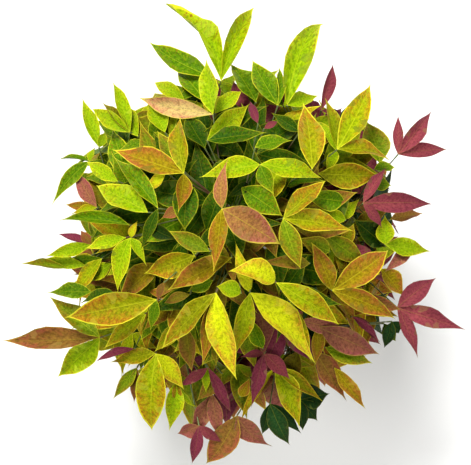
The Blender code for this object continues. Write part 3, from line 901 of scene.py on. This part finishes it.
def fitting(spray, turn, tilt, near, cover):
    """How each leaflet of a spray would lie, or None where it has no room."""
    found = []
    for leaflet in spray.leaflets:
        along, facing = spray.lie(leaflet.heading + turn, tilt, leaflet.droop)
        found.append(None)
        for size in SIZES:
            leaflet.lay(spray.place, along, facing, size)
            shape = shape_of(leaflet)
            if inside_reach(shape) and not cover.spoilt(shape) and not crowded(shape, near):
                found[-1] = (along, facing, size, shape)
                break
    return found


def grow(spray, taken, cover):
    """Gives a spray its leaflets, in the turn and tilt that leave the most of them."""
    room = max(leaflet.length for leaflet in spray.leaflets) * NEAR_SHARE
    near = [other for other in taken if (other[0][5] - spray.place).length < room + other[1]]
    full = sum(leaflet.length for leaflet in spray.leaflets)
    best, best_size = None, 0
    for tilt in TILTS:
        for turn in TURNS:
            found = fitting(spray, turn, tilt, near, cover)
            size = sum(l.length * f[2] for l, f in zip(spray.leaflets, found) if f)
            if size > best_size * CLEARLY_MORE:
                best, best_size = found, size
        if best_size > full * ALL_OF_IT:
            break
    for leaflet, how in zip(spray.leaflets, best or ()):
        if how:
            leaflet.lay(spray.place, *how[:3])
            spray.grown.append(leaflet)
            taken.append(how[3])


def leaf_groups(sprays):
    """The sprays of a mass in the groups that share one leaf stalk, the furthest first."""
    left = sorted(sprays, key=lambda s: (-(s.place - CROWN_MIDDLE).length, s.place.x))
    while left:
        first = left.pop(0)
        near = sorted(left, key=lambda s: (s.place - first.place).length)[: SPRAYS_A_LEAF - 1]
        near = [s for s in near if (s.place - first.place).length < LEAF_REACH]
        for s in near:
            left.remove(s)
        yield [first, *near]


class Stalk:
    """A path with its radius at each point."""

    def __init__(self, path, radius, foot, tip, joint=1.0):
        self.path = path
        steps = len(path) - 1
        first, last = radius * foot, radius * tip
        self.radii = [first + (last - first) * i / steps for i in range(steps + 1)]
        self.radii[0] *= joint
        self.radii[-1] *= joint


def leaf_stalks(limb, sprays):
    """The stalks of a mass's compound leaves and of their sprays, set along its stem in order."""
    first, last = limb.stem[0], limb.stem[-1]
    groups = [(sum((s.place for s in group), Vector()) / len(group), group) for group in leaf_groups(sprays)]
    groups.sort(key=lambda pair: (pair[0] - first).dot(last - first))
    found = []
    for i, (middle, group) in enumerate(groups):
        root = at_share(limb.stem, FIRST_STALK + (LAST_STALK - FIRST_STALK) * (i + 0.5) / len(groups))
        group.sort(key=lambda s: -(s.place - root).length)
        starts = [root]
        if len(group) > 1:
            fork = root.lerp(middle, FORK_SHARE)
            bow = (root + fork) / 2 + UP * (fork - root).length * STALK_ARCH
            path = bent(root, bow, fork, STALK_STEPS)
            found.append(Stalk(path, STALK_RADIUS, *STALK_TAPER))
            starts = [at_share(path, SIDE_STALK_START - k * SIDE_STALK_STEP) for k in range(len(group))]
        for spray, start in zip(group, starts):
            run = spray.place - start
            bow = (start + spray.place) / 2 + UP * run.length * STALK_ARCH * SIDE_ARCH_SHARE
            path = bent(start, bow, spray.place, STALK_STEPS)
            found.append(Stalk(path, SIDE_STALK_RADIUS, *SIDE_STALK_TAPER))
    return found


def tree_of_stalk(stalk):
    """A thin strip along a stalk, short of its end, to test leaflets against."""
    path = stalk.path[:-1]
    side = (path[-1] - path[0]).orthogonal().normalized() * SIDE_STALK_RADIUS
    places = [p + side * k for p in path for k in (-1, 1)]
    faces = [(i * 2, i * 2 + 1, i * 2 + 3, i * 2 + 2) for i in range(len(path) - 1)]
    middle = path[0].lerp(path[-1], 0.5)
    return [middle] * 6, (path[-1] - path[0]).length * TEST_REACH, BVHTree.FromPolygons(places, faces)


@functools.cache
def grow_plant():
    """All sprays with their leaflets, and all stalks, by one seeded rule."""
    scene = bpy.context.scene
    crown, blade = scene.crown_sizes, scene.blade_sizes
    dice = random.Random(crown.seed)
    limbs, view = all_limbs(), View(scene.stage_look)
    placed = [PictureSpray(row, crown, view, blade, dice) for row in PICTURE_SPRAYS]
    settled = []
    for spray in placed:
        spray.settle(settled)
    seeded = seeded_sprays(crown, blade, dice)
    sprays = placed + seeded
    stalks, taken = [], []
    for limb in limbs:
        own = [s for s in sprays if min(limbs, key=lambda l: (s.place - l.middle).length) is limb]
        found = leaf_stalks(limb, own)
        taken += [tree_of_stalk(stalk) for stalk in found]
        stalks += found
        tip = limb.stem[-1] + (limb.stem[-1] - limb.stem[-2]).normalized() * STEM_END
        stalks.append(Stalk([*limb.stem, tip], 1.0, scene.limb_sizes.cane_tip, STEM_TIP))
    taken += settled
    cover = Cover(view, placed)
    for spray in seeded:
        grow(spray, taken, cover)
    return sprays, stalks


def mesh_tree(name, sockets):
    """A new node tree with a way in and out for the mesh, and its inputs."""
    tree = bpy.data.node_groups.new(name, "GeometryNodeTree")
    tree.interface.new_socket("Geometry", in_out="INPUT", socket_type="NodeSocketGeometry")
    tree.interface.new_socket("Geometry", in_out="OUTPUT", socket_type="NodeSocketGeometry")
    for socket, kind in sockets.items():
        tree.interface.new_socket(socket, in_out="INPUT", socket_type=f"NodeSocket{kind}")
    return tree, node(tree, "NodeGroupInput", out=None)


def blade_tree():
    """Sets a blade on each point and bends it by the values that the point carries."""
    tree, given = mesh_tree("Leaflets", {"Blade": "Object", "Thickness": "Float", "Material": "Material"})
    add = functools.partial(node, tree)
    kept = {}
    for name in BLADE_VALUES:
        kind = "FLOAT" if name == "under" else "FLOAT_VECTOR"
        kept[name] = add("GeometryNodeInputNamedAttribute", name, out="Attribute", data_type=kind)
    split = ("local", "profile", "bends", "sway", "tile", "outline")
    parts = {name: add("SeparateXYZ", kept[name], out=None) for name in split}
    share = parts["local"][1]

    blade = add("GeometryNodeObjectInfo", named={"Object": given["Blade"]}, out="Geometry")
    dealt = add("GeometryNodeInstanceOnPoints", named={"Points": given["Geometry"], "Instance": blade})
    whole = add("GeometryNodeRealizeInstances", dealt)

    swell = add("Math", share, SWELL, operation="POWER")
    left = add("Math", 1.0, share, operation="SUBTRACT")
    narrow = add("Math", left, parts["outline"][0], operation="POWER")
    swollen = add("Math", swell, narrow, operation="MULTIPLY")
    half = add("Math", swollen, parts["outline"][1], operation="DIVIDE")
    spanned = add("VectorMath", kept["profile"], kept["spans"], operation="MULTIPLY")
    scaled = add("VectorMath", spanned, named={"Scale": half}, operation="SCALE")
    flat = add("SeparateXYZ", scaled, out=None)
    lip = add("Math", parts["profile"][1], half, operation="MULTIPLY")
    squared = add("Math", share, share, operation="MULTIPLY")
    side = add("Math", squared, parts["sway"][0], flat[0], operation="MULTIPLY_ADD")
    beat = add("Math", share, WAVE_BEAT, parts["sway"][2], operation="MULTIPLY_ADD")
    ripple = add("Math", beat, operation="SINE")
    waved = add("Math", ripple, parts["sway"][1], operation="MULTIPLY")
    lifted = add("Math", waved, lip, flat[1], operation="MULTIPLY_ADD")
    skin = add("Math", parts["profile"][2], given["Thickness"], lifted, operation="MULTIPLY_ADD")
    section = add("CombineXYZ", 0.0, side, skin)

    twist = add("Math", parts["bends"][1], share, operation="MULTIPLY")
    turned = add("VectorRotate", named={"Vector": section, "Angle": twist}, rotation_type="X_AXIS")
    radius = add("CombineXYZ", 0.0, 0.0, parts["bends"][2])
    raised = add("VectorMath", turned, radius, operation="ADD")
    droop = add("Math", parts["bends"][0], share, operation="MULTIPLY")
    arched = add("VectorRotate", named={"Vector": raised, "Angle": droop}, rotation_type="Y_AXIS")
    lowered = add("VectorMath", arched, radius, operation="SUBTRACT")
    aim = {"Vector": lowered, "Rotation": kept["turn"]}
    aimed = add("VectorRotate", named=aim, rotation_type="EULER_XYZ")
    placed = add("VectorMath", aimed, kept["place"], operation="ADD")
    moved = add("GeometryNodeSetPosition", named={"Geometry": whole, "Position": placed})

    # A blade's upper face takes its own tile of the pattern, and its under face one of the first row.
    column = add("Mix", kept["under"], named={2: parts["tile"][0], 3: parts["tile"][2]})
    row = add("Mix", kept["under"], named={2: parts["tile"][1], 3: 0.0})
    across = add("Math", parts["local"][0], 0.5 - TILE_EDGE, 0.5, operation="MULTIPLY_ADD")
    ahead = add("Math", share, 1 - 2 * TILE_EDGE, TILE_EDGE, operation="MULTIPLY_ADD")
    right = add("Math", across, column, operation="ADD")
    up = add("Math", ahead, row, operation="ADD")
    square = add("CombineXYZ", right, up)
    shrunk = add("VectorMath", square, named={"Scale": 1 / TILES}, operation="SCALE")
    mapped = add(
        "GeometryNodeStoreNamedAttribute",
        named={"Geometry": moved, "Name": "OFBake", "Value": shrunk},
        data_type="FLOAT2", domain="CORNER",
    )
    covered = add("GeometryNodeSetMaterial", named={"Geometry": mapped, "Material": given["Material"]})
    add("NodeGroupOutput", covered, out=None)
    return tree


def stalk_tree():
    """Makes a round stalk along each run of edges, as thick as its points say."""
    tree, given = mesh_tree("Stalks", {"Sides": "Int", "Material": "Material"})
    add = functools.partial(node, tree)
    girth = add("GeometryNodeInputNamedAttribute", "girth", out="Attribute", data_type="FLOAT")
    line = add("GeometryNodeMeshToCurve", named={"Mesh": given["Geometry"]})
    ring = add("GeometryNodeCurvePrimitiveCircle", named={"Resolution": given["Sides"], "Radius": 1.0})
    swept = {"Curve": line, "Profile Curve": ring, "Scale": girth, "Fill Caps": True}
    made = add("GeometryNodeCurveToMesh", named=swept)
    smooth = add("GeometryNodeSetShadeSmooth", named={"Geometry": made})
    whole = add("GeometryNodeRealizeInstances", smooth)
    covered = add("GeometryNodeSetMaterial", named={"Geometry": whole, "Material": given["Material"]})
    add("NodeGroupOutput", covered, out=None)
    return tree


def blade_template():
    """One closed blade, whose points carry where they are on it: across, along, and which face."""
    local = [(0, 0, 0)]
    for t in BLADE_ROWS:
        local += [(-1, t, 0), *((s, t, FACE_TOP) for s in (-0.5, 0, 0.5)), (1, t, 0), (0, t, FACE_UNDER)]
    local.append((0, 1, 0))
    last = len(local) - 1
    faces, under = [], []
    for i in range(len(BLADE_ROWS) + 1):
        lower = [1 + (i - 1) * 6 + k for k in range(6)] if i else [0] * 6
        upper = [1 + i * 6 + k for k in range(6)] if i < len(BLADE_ROWS) else [last] * 6
        strips = [(0, 1), (1, 2), (2, 3), (3, 4), (4, 5), (5, 0)]
        for k, (a, b) in enumerate(strips):
            corners = (lower[a], upper[a], upper[b], lower[b])
            faces.append(tuple(dict.fromkeys(corners)))
            under.append(1.0 if k > 3 else 0.0)
    points = [(t, -s * t * (1 - t), k * 0.004) for s, t, k in local]
    mesh = new_mesh("blade", points, [tuple(reversed(f)) for f in faces])
    store(mesh, "local", local)
    store(mesh, "profile", [(s, abs(s) ** FOLD_ROUNDING, k / 2) for s, t, k in local])
    store(mesh, "under", under, "FLOAT", "FACE")
    on_rim = {v for v, (s, _, _) in enumerate(local) if abs(s) == 1 or v in (0, last)}
    rim = mesh.attributes.new("sharp_edge", "BOOLEAN", "EDGE")
    rim.data.foreach_set("value", [on_rim.issuperset(edge.vertices) for edge in mesh.edges])
    return new_object("blade", mesh)


def new_material(name):
    """A new material, its shader, and the function that adds nodes to it."""
    made = bpy.data.materials.new(name)
    made.use_nodes = True
    return made, made.node_tree.nodes["Principled BSDF"], functools.partial(node, made.node_tree)


def leaf_material(tint, colours, rim, roughness):
    """A leathery leaflet with a waxy skin: a thin pale margin that also paints a highlight along the edge, a
    sunk midrib, and a tip that turns first.
    """
    made, shader, add = new_material(f"{tint}_leaf_blade")
    soft = {"interpolation_type": "SMOOTHSTEP"}
    drawn = add("UVMap", uv_map="OFBake")
    tiled = add("VectorMath", drawn, named={"Scale": TILES}, operation="SCALE")
    tile = add("VectorMath", tiled, operation="FLOOR")
    within = add("VectorMath", tiled, operation="FRACTION")
    here, where = (add("SeparateXYZ", vector, out=None) for vector in (within, tile))
    off = add("Math", here[0], 0.5, operation="SUBTRACT")
    across = add("Math", off, 0.5 - TILE_EDGE, operation="DIVIDE")
    off = add("Math", here[1], TILE_EDGE, operation="SUBTRACT")
    share = add("Math", off, 1 - 2 * TILE_EDGE, operation="DIVIDE")
    share = add("Math", share, 0.0, operation="MAXIMUM")
    out = add("Math", add("Math", across, operation="ABSOLUTE"), 1.0, operation="MINIMUM")
    left = add("Math", add("Math", 1.0, share, operation="SUBTRACT"), 0.0, operation="MAXIMUM")
    narrow = add("Math", left, TAPER, operation="POWER")
    half = add("Math", narrow, add("Math", share, SWELL, operation="POWER"), operation="MULTIPLY")
    half = add("Math", half, 1 / broadest(TAPER), operation="MULTIPLY")
    from_rib = add("Math", out, half, operation="MULTIPLY")
    from_edge = add("Math", half, from_rib, operation="SUBTRACT")
    under = add("Math", where[1], 0.5, operation="LESS_THAN")

    # The blade at its own proportions, one unit to its length, shifted for each tile.
    wide = add("Math", add("Math", across, half, operation="MULTIPLY"), DRAWN_HALF, operation="MULTIPLY")
    shape = add("CombineXYZ", wide, share)
    spot = add("VectorMath", tile, TILE_SHIFT, shape, operation="MULTIPLY_ADD")
    chance = add("TexWhiteNoise", tile, out=None, noise_dimensions="2D")
    mix_up = add("SeparateColor", chance[1], out=None)

    # Side veins rise about a sixth of the length on their way to the edge, ten or so on each side.
    wobble = add("TexNoise", named={"Vector": spot, "Scale": 14.0, "Detail": 1.0})
    bend = add("Math", add("Math", out, 1.35, operation="POWER"), -0.17, share, operation="MULTIPLY_ADD")
    bend = add("Math", wobble, 0.06, bend, operation="MULTIPLY_ADD")
    odd = add("Math", add("Math", across, 0.0, operation="GREATER_THAN"), 0.45, operation="MULTIPLY")
    beat = add("Math", bend, 10.0, odd, operation="MULTIPLY_ADD")
    off_vein = add("Math", beat, 0.5, operation="PINGPONG")
    veins = add("MapRange", off_vein, 0.0, 0.16, 1.0, 0.0, **soft)
    inside = add("MapRange", from_edge, 0.05, 0.45, **soft)
    veins = add("Math", veins, inside, operation="MULTIPLY")
    rib_width = add("Math", left, 0.035, 0.012, operation="MULTIPLY_ADD")
    rib = add("MapRange", add("Math", from_rib, rib_width, operation="DIVIDE"), 0.5, 1.4, 1.0, 0.0, **soft)
    # The pale margin, partly a painted highlight that the edge catches.
    margin = add("MapRange", from_edge, 0.035, 0.085, 1.0, 0.0, **soft)
    net = add("TexVoronoi", named={"Vector": spot, "Scale": 34.0}, feature="DISTANCE_TO_EDGE")
    net = add("MapRange", net, 0.0, 0.16, 1.0, 0.0, **soft)

    # The turn of the colour creeps in from the tip and the edge, in patches about 5 mm wide, with specks.
    patches, mottle, freckles = (
        add("TexNoise", named={"Vector": spot, "Scale": scale, "Detail": detail, "Roughness": rough})
        for scale, detail, rough in ((10.0, 5.0, 0.7), (23.0, 3.0, 0.78), (36.0, 2.0, 0.6))
    )
    turned = add("Math", share, 0.7, operation="MULTIPLY")
    for cause, weight in ((add("Math", out, 1.6, operation="POWER"), 0.6), (patches, 1.5), (mix_up[1], 0.4)):
        turned = add("Math", cause, weight, turned, operation="MULTIPLY_ADD")
    turned = add("MapRange", turned, 1.1, 1.85, **soft)
    freckles = add("Math", add("MapRange", freckles, 0.5, 0.64, **soft), turned, operation="MULTIPLY")

    # Each coat lies over the ones before it: where it shows, how strongly, and its colour.
    blade, edge = getattr(colours, tint), getattr(colours, f"{tint}_edge")
    deeper = tuple(c * 0.42 for c in blade)
    paler = tuple(c * 0.55 + y * 0.45 for c, y in zip(blade, colours.margin))
    dull = tuple(c * 0.6 + y * 0.4 for c, y in zip(blade, linear("#869440")))
    coats = (
        (turned, 1.0, edge),
        (add("MapRange", mottle, 0.47, 0.63, 0.0, 0.74, **soft), 1.0, deeper),
        (add("MapRange", mottle, 0.49, 0.34, 0.0, 0.5 * rim, **soft), 1.0, paler),
        (net, 0.2, deeper),
        (veins, 0.34, deeper),
        (freckles, 0.8 * min(rim * 1.6, 1), colours.freckle),
        (rib, 0.1 + 0.5 * rim, paler),
        # The margin coat paints a pale rim together with a highlight along the edge.
        (margin, rim, colours.margin),
        (under, 0.5, dull),
    )
    base = (*blade, 1)
    for shown, strength, coat in coats:
        shown = add("Math", shown, strength, operation="MULTIPLY")
        base = add("Mix", shown, named={6: base, 7: (*coat, 1)}, out=2, data_type="RGBA")
    lit = add("Math", chance[0], 0.36, 0.66, operation="MULTIPLY_ADD")

    gloss = add("Math", mottle, 0.16, roughness - 0.08, operation="MULTIPLY_ADD")
    height = add("Math", net, -0.25, operation="MULTIPLY")
    for mark, rise in ((veins, -0.6), (rib, -0.8), (margin, 0.3)):
        height = add("Math", mark, rise, height, operation="MULTIPLY_ADD")
    fill(shader, {
        "Base Color": add("HueSaturation", named={"Value": lit, "Color": base}),
        "Roughness": add("Math", under, 0.2, gloss, operation="MULTIPLY_ADD"),
        "Normal": add("Bump", named={"Strength": 0.6, "Distance": 0.0004, "Height": height}),
        "IOR": 1.42,
        "Specular IOR Level": 0.06,
    })
    return made


def bark_material(name, ridge, crack, ridge_size, stretch, depth):
    """Bark that the plant grew: raised corky ridges over darker cracks, dry and rough."""
    made, shader, add = new_material(name)
    soft = {"interpolation_type": "SMOOTHSTEP"}
    where = add("TexCoord", out="Object")
    drawn = add("Mapping", where, named={"Scale": (1, 1, stretch)})
    size = 1 / ridge_size
    cells = add("TexVoronoi", named={"Vector": drawn, "Scale": size}, feature="DISTANCE_TO_EDGE")
    cracks = add("MapRange", cells, 0.0, 0.22, **soft)
    grain = add("TexNoise", named={"Vector": drawn, "Scale": size * 2.2, "Detail": 6.0, "Roughness": 0.62})
    patches = add("TexNoise", named={"Vector": where, "Scale": 90.0, "Detail": 3.0})
    raised = add("Math", cracks, grain, operation="MULTIPLY")
    ridged = add("MapRange", raised, 0.12, 0.55, **soft)
    worn = add("MapRange", patches, 0.45, 0.7, 0.0, 0.6, **soft)
    grey = tuple(c * 0.5 + 0.13 for c in ridge)
    base = (*crack, 1)
    for shown, coat in ((ridged, ridge), (worn, grey)):
        base = add("Mix", shown, named={6: base, 7: (*coat, 1)}, out=2, data_type="RGBA")
    fill(shader, {
        "Base Color": base,
        "Roughness": add("Math", grain, 0.2, 0.72, operation="MULTIPLY_ADD"),
        "Normal": add("Bump", named={"Strength": 0.8, "Distance": depth, "Height": raised}),
    })
    return made


def stalk_material(name, green, blush):
    """A smooth green stalk that reddens in patches, with fine dark specks and a soft gloss."""
    made, shader, add = new_material(name)
    soft = {"interpolation_type": "SMOOTHSTEP"}
    where = add("TexCoord", out="Object")
    patches = add("TexNoise", named={"Vector": where, "Scale": 45.0, "Detail": 2.0})
    specks = add("TexNoise", named={"Vector": where, "Scale": 900.0, "Detail": 3.0})
    turned = add("MapRange", patches, 0.5, 0.72, **soft)
    dots = add("MapRange", specks, 0.52, 0.7, 0.0, 0.35, **soft)
    dark = tuple(c * 0.45 for c in blush)
    base = (*green, 1)
    for shown, coat in ((turned, blush), (dots, dark)):
        base = add("Mix", shown, named={6: base, 7: (*coat, 1)}, out=2, data_type="RGBA")
    fill(shader, {
        "Base Color": base,
        "Roughness": add("MapRange", specks, 0.3, 0.7, 0.38, 0.55, **soft),
        "Normal": add("Bump", named={"Strength": 0.4, "Distance": 0.0001, "Height": specks}),
    })
    return made


def floor_material(name, shade):
    """Matt painted board: pale, with a faint roller texture about 4 mm across."""
    made, shader, add = new_material(name)
    where = add("TexCoord", out="Object")
    grain = add("TexNoise", named={"Vector": where, "Scale": 250.0, "Detail": 2.0})
    shown = add("MapRange", grain, 0.2, 0.8, 0.0, 0.02, interpolation_type="SMOOTHSTEP")
    darker = tuple(c * 0.9 for c in shade)
    base = add("Mix", shown, named={6: (*shade, 1), 7: (*darker, 1)}, out=2, data_type="RGBA")
    fill(shader, {"Base Color": base, "Roughness": 0.9, "Specular IOR Level": 0.2})
    return made


def stem_outline(sizes, height, turn):
    """The short stem's radius, with its root flare and a lobe under each cane of the ring."""
    flare = FLARE_WIDTH * math.exp(-height / FLARE_FALL)
    lobe = max(math.cos(turn - math.radians(cane)) for cane in RING.values()) ** LOBE_SHARPNESS
    return sizes.stem_radius + flare * (0.75 + 0.5 * lobe) + LOBE_DEPTH * (lobe - 0.5)


def stem_mesh(sizes):
    """The short stem from the ground to its domed top, with furrows that run up it."""
    points, faces = [], []
    for i in range(STEM_RINGS):
        height = sizes.stem_height * math.sin(i / STEM_RINGS * math.pi / 2)
        close = math.sqrt(1 - (height / sizes.stem_height) ** 6)
        for k in range(STEM_SIDES):
            turn = math.tau * k / STEM_SIDES
            out = Vector((math.cos(turn), math.sin(turn), 0))
            radius = stem_outline(sizes, height, turn)
            ridge = noise.noise(out * 5.5 + UP * height * 28)
            fine = noise.noise(out * 15 + UP * height * 90)
            radius += RIDGE_HEIGHT * (1 - 2 * abs(ridge)) + GRAIN_HEIGHT * fine - RIDGE_SUNK
            points.append(out * radius * close + UP * height)
    points.append(UP * sizes.stem_height)
    for i in range(STEM_RINGS):
        for k in range(STEM_SIDES):
            a, b = i * STEM_SIDES + k, i * STEM_SIDES + (k + 1) % STEM_SIDES
            last = i == STEM_RINGS - 1
            faces.append((a, b, len(points) - 1) if last else (a, b, b + STEM_SIDES, a + STEM_SIDES))
    faces.append(tuple(reversed(range(STEM_SIDES))))
    return new_mesh("short_stem_bark", points, faces)


def cane_mesh(limb, sizes):
    """A tapering cane with fine furrows, ringed by the scars of old leaf sheaths."""
    points, faces = [], []
    path = [at_share(limb.cane, i / CANE_RINGS) for i in range(CANE_RINGS + 1)]
    side = (path[1] - path[0]).orthogonal().normalized()
    run = 0.0
    for i, place in enumerate(path):
        ahead = (path[min(i + 1, CANE_RINGS)] - path[max(i - 1, 0)]).normalized()
        side = (side - ahead * side.dot(ahead)).normalized()
        run += (place - path[i - 1]).length if i else 0
        share = i / CANE_RINGS
        scar = (run / LEAF_SCAR_STEP + noise.noise(Vector((run * 60, 0, len(limb.name))))) % 1
        collar = SCAR_HEIGHT * math.exp(-(((scar - 0.5) / 0.13) ** 2))
        collar -= GROOVE_DEPTH * math.exp(-(((scar - 0.72) / 0.08) ** 2))
        radius = sizes.cane_foot + (sizes.cane_tip - sizes.cane_foot) * share
        for k in range(CANE_SIDES):
            turn = math.tau * k / CANE_SIDES
            furrow = FURROW_DEPTH * noise.noise(Vector((math.cos(turn) * 3, math.sin(turn) * 3, run * 40)))
            out = Matrix.Rotation(turn, 3, ahead) @ side
            points.append(place + out * (radius + collar * (1 - share * 0.4) + furrow))
    for i in range(CANE_RINGS):
        for k in range(CANE_SIDES):
            a, b = i * CANE_SIDES + k, i * CANE_SIDES + (k + 1) % CANE_SIDES
            faces.append((a, b, b + CANE_SIDES, a + CANE_SIDES))
    faces.append(tuple(reversed(range(CANE_SIDES))))
    faces.append(tuple(range(len(points) - CANE_SIDES, len(points))))
    return new_mesh(f"cane_{limb.name}_bark", points, faces)


class PLANT_OT_limbs(bpy.types.Operator):
    """Make the short stem and the canes, with the relief of their bark."""

    bl_idname = "plant.limbs"
    bl_label = "Stem and canes"

    def execute(self, context):
        sizes, colours = context.scene.limb_sizes, context.scene.bark_colours
        bark = bark_material("stem_cork_bark", colours.stem, colours.stem_cracks, 0.0036, 0.3, 0.0012)
        stem = new_object("short_stem_bark", stem_mesh(sizes))
        stem.data.materials.append(bark)
        hand_in(stem, "stem_bark", "short_stem")
        bark = bark_material("cane_ribbed_bark", colours.cane, colours.cane_furrows, 0.0016, 0.22, 0.0005)
        for limb in all_limbs():
            cane = new_object(f"cane_{limb.name}_bark", cane_mesh(limb, sizes))
            cane.data.materials.append(bark)
            hand_in(cane, "cane_bark", f"cane_{limb.name}")
        return {"FINISHED"}


class PLANT_OT_stalks(bpy.types.Operator):
    """Grow the stems and the leaf stalks that fork inside the crown."""

    bl_idname = "plant.stalks"
    bl_label = "Stalks"

    def execute(self, context):
        colours = context.scene.bark_colours
        points, edges, girths = [], [], []
        for stalk in grow_plant()[1]:
            edges += [(len(points) + i, len(points) + i + 1) for i in range(len(stalk.path) - 1)]
            points += stalk.path
            girths += stalk.radii
        mesh = new_mesh("stalks", points, [], edges)
        store(mesh, "girth", girths, "FLOAT")
        finish = stalk_material("green_leaf_stalk", colours.stalk, colours.stalk_blush)
        piece = grown("leaf_stalks", mesh, stalk_tree(), Sides=6, Material=finish)
        hand_in(piece, "cane_bark", *(f"foliage_{name}" for name in LIMBS))
        return {"FINISHED"}


class PLANT_OT_leaves(bpy.types.Operator):
    """Grow the leaflets, in one piece for each tint."""

    bl_idname = "plant.leaves"
    bl_label = "Leaflets"

    def execute(self, context):
        scene = context.scene
        tree, blade = blade_tree(), blade_template()
        for tint, (*_, slot, rim, roughness) in TINTS.items():
            every = (leaflet for spray in grow_plant()[0] for leaflet in spray.grown)
            leaflets = [leaflet for leaflet in every if leaflet.tint == tint]
            mesh = new_mesh(tint, [leaflet.base for leaflet in leaflets], [])
            spans, bends, sways = zip(*(leaflet.numbers() for leaflet in leaflets))
            carried = {
                "place": [leaflet.base for leaflet in leaflets],
                "turn": [leaflet.turn.to_euler("XYZ") for leaflet in leaflets],
                "spans": spans,
                "bends": bends,
                "sway": sways,
                "tile": [leaflet.tile for leaflet in leaflets],
                "outline": [(leaflet.taper, broadest(leaflet.taper), 0) for leaflet in leaflets],
            }
            for name, values in carried.items():
                store(mesh, name, values)
            finish = leaf_material(tint, scene.leaf_colours, rim, roughness)
            thick = scene.blade_sizes.thickness
            piece = grown(f"leaves_{tint}", mesh, tree, Blade=blade, Thickness=thick, Material=finish)
            for name in BLADE_VALUES:
                if name in piece.data.attributes:
                    piece.data.attributes.remove(piece.data.attributes[name])
            hand_in(piece, slot, *(f"foliage_{name}" for name in LIMBS))
        bpy.data.objects.remove(blade)
        return {"FINISHED"}


class PLANT_OT_stage(bpy.types.Operator):
    """Set the floor, the soft light and the camera that looks down on the crown."""

    bl_idname = "plant.stage"
    bl_label = "Stage"

    def execute(self, context):
        scene, look = context.scene, context.scene.stage_look
        corners = [(x * FLOOR_REACH, y * FLOOR_REACH, 0) for x, y in ((-1, -1), (1, -1), (1, 1), (-1, 1))]
        floor = new_object("floor", new_mesh("floor", corners, [(0, 1, 2, 3)]))
        floor.data.materials.append(floor_material("matt_floor", look.floor))
        floor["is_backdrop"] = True

        world = bpy.data.worlds.new("soft_room")
        world.use_nodes = True
        sky = world.node_tree.nodes["Background"]
        sky.inputs["Color"].default_value = (1, 1, 1, 1)
        sky.inputs["Strength"].default_value = SKY_STRENGTH
        scene.world = world
        for name, (width, power, turn, rise, away) in LAMPS.items():
            lamp = bpy.data.lights.new(name, "AREA")
            lamp.shape = "DISK"
            lamp.size = width
            lamp.energy = power
            box = bpy.data.objects.new(name, lamp)
            box.location = CROWN_MIDDLE + bearing(turn, rise) * away
            box.rotation_euler = (CROWN_MIDDLE - box.location).to_track_quat("-Z", "Y").to_euler()
            scene.collection.objects.link(box)

        lens = bpy.data.cameras.new("camera")
        lens.lens = LENS
        lens.sensor_width = SENSOR
        camera = bpy.data.objects.new("camera", lens)
        view = View(look)
        camera.location = view.eye
        camera.rotation_euler = view.ahead.to_track_quat("-Z", "Y").to_euler()
        scene.collection.objects.link(camera)
        scene.camera = camera
        scene.view_settings.view_transform = "Standard"
        return {"FINISHED"}


class PLANT_PT_panel(bpy.types.Panel):
    """Lists the plant's sizes and the steps that make it."""

    bl_label = "Heavenly bamboo"
    bl_idname = "PLANT_PT_panel"
    bl_space_type = "VIEW_3D"
    bl_region_type = "UI"
    bl_category = "Plant"

    def draw(self, context):
        for group in (context.scene.crown_sizes, context.scene.limb_sizes, context.scene.blade_sizes):
            box = self.layout.box()
            for name in group.bl_rna.properties.keys():
                if name not in ("rna_type", "name"):
                    box.prop(group, name)
        for operator in OPERATORS:
            self.layout.operator(operator.bl_idname)


OPERATORS = (PLANT_OT_stage, PLANT_OT_limbs, PLANT_OT_stalks, PLANT_OT_leaves)
GROUPS = {
    "crown_sizes": CrownSizes,
    "limb_sizes": LimbSizes,
    "blade_sizes": BladeSizes,
    "leaf_colours": LeafColours,
    "bark_colours": BarkColours,
    "stage_look": StageLook,
}


def register():
    for kind in (*GROUPS.values(), *OPERATORS, PLANT_PT_panel):
        bpy.utils.register_class(kind)
    for name, group in GROUPS.items():
        setattr(bpy.types.Scene, name, PointerProperty(type=group))


def unregister():
    for name in GROUPS:
        delattr(bpy.types.Scene, name)
    for kind in reversed((*GROUPS.values(), *OPERATORS, PLANT_PT_panel)):
        bpy.utils.unregister_class(kind)


def main():
    register()
    bpy.ops.plant.stage()
    bpy.ops.plant.limbs()
    bpy.ops.plant.stalks()
    bpy.ops.plant.leaves()
    boxes = {"cad": CAD_BOX, "visual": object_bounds()}
    {name: [list(corner) for corner in box] for name, box in boxes.items()}


if __name__ == "__main__":
    main()
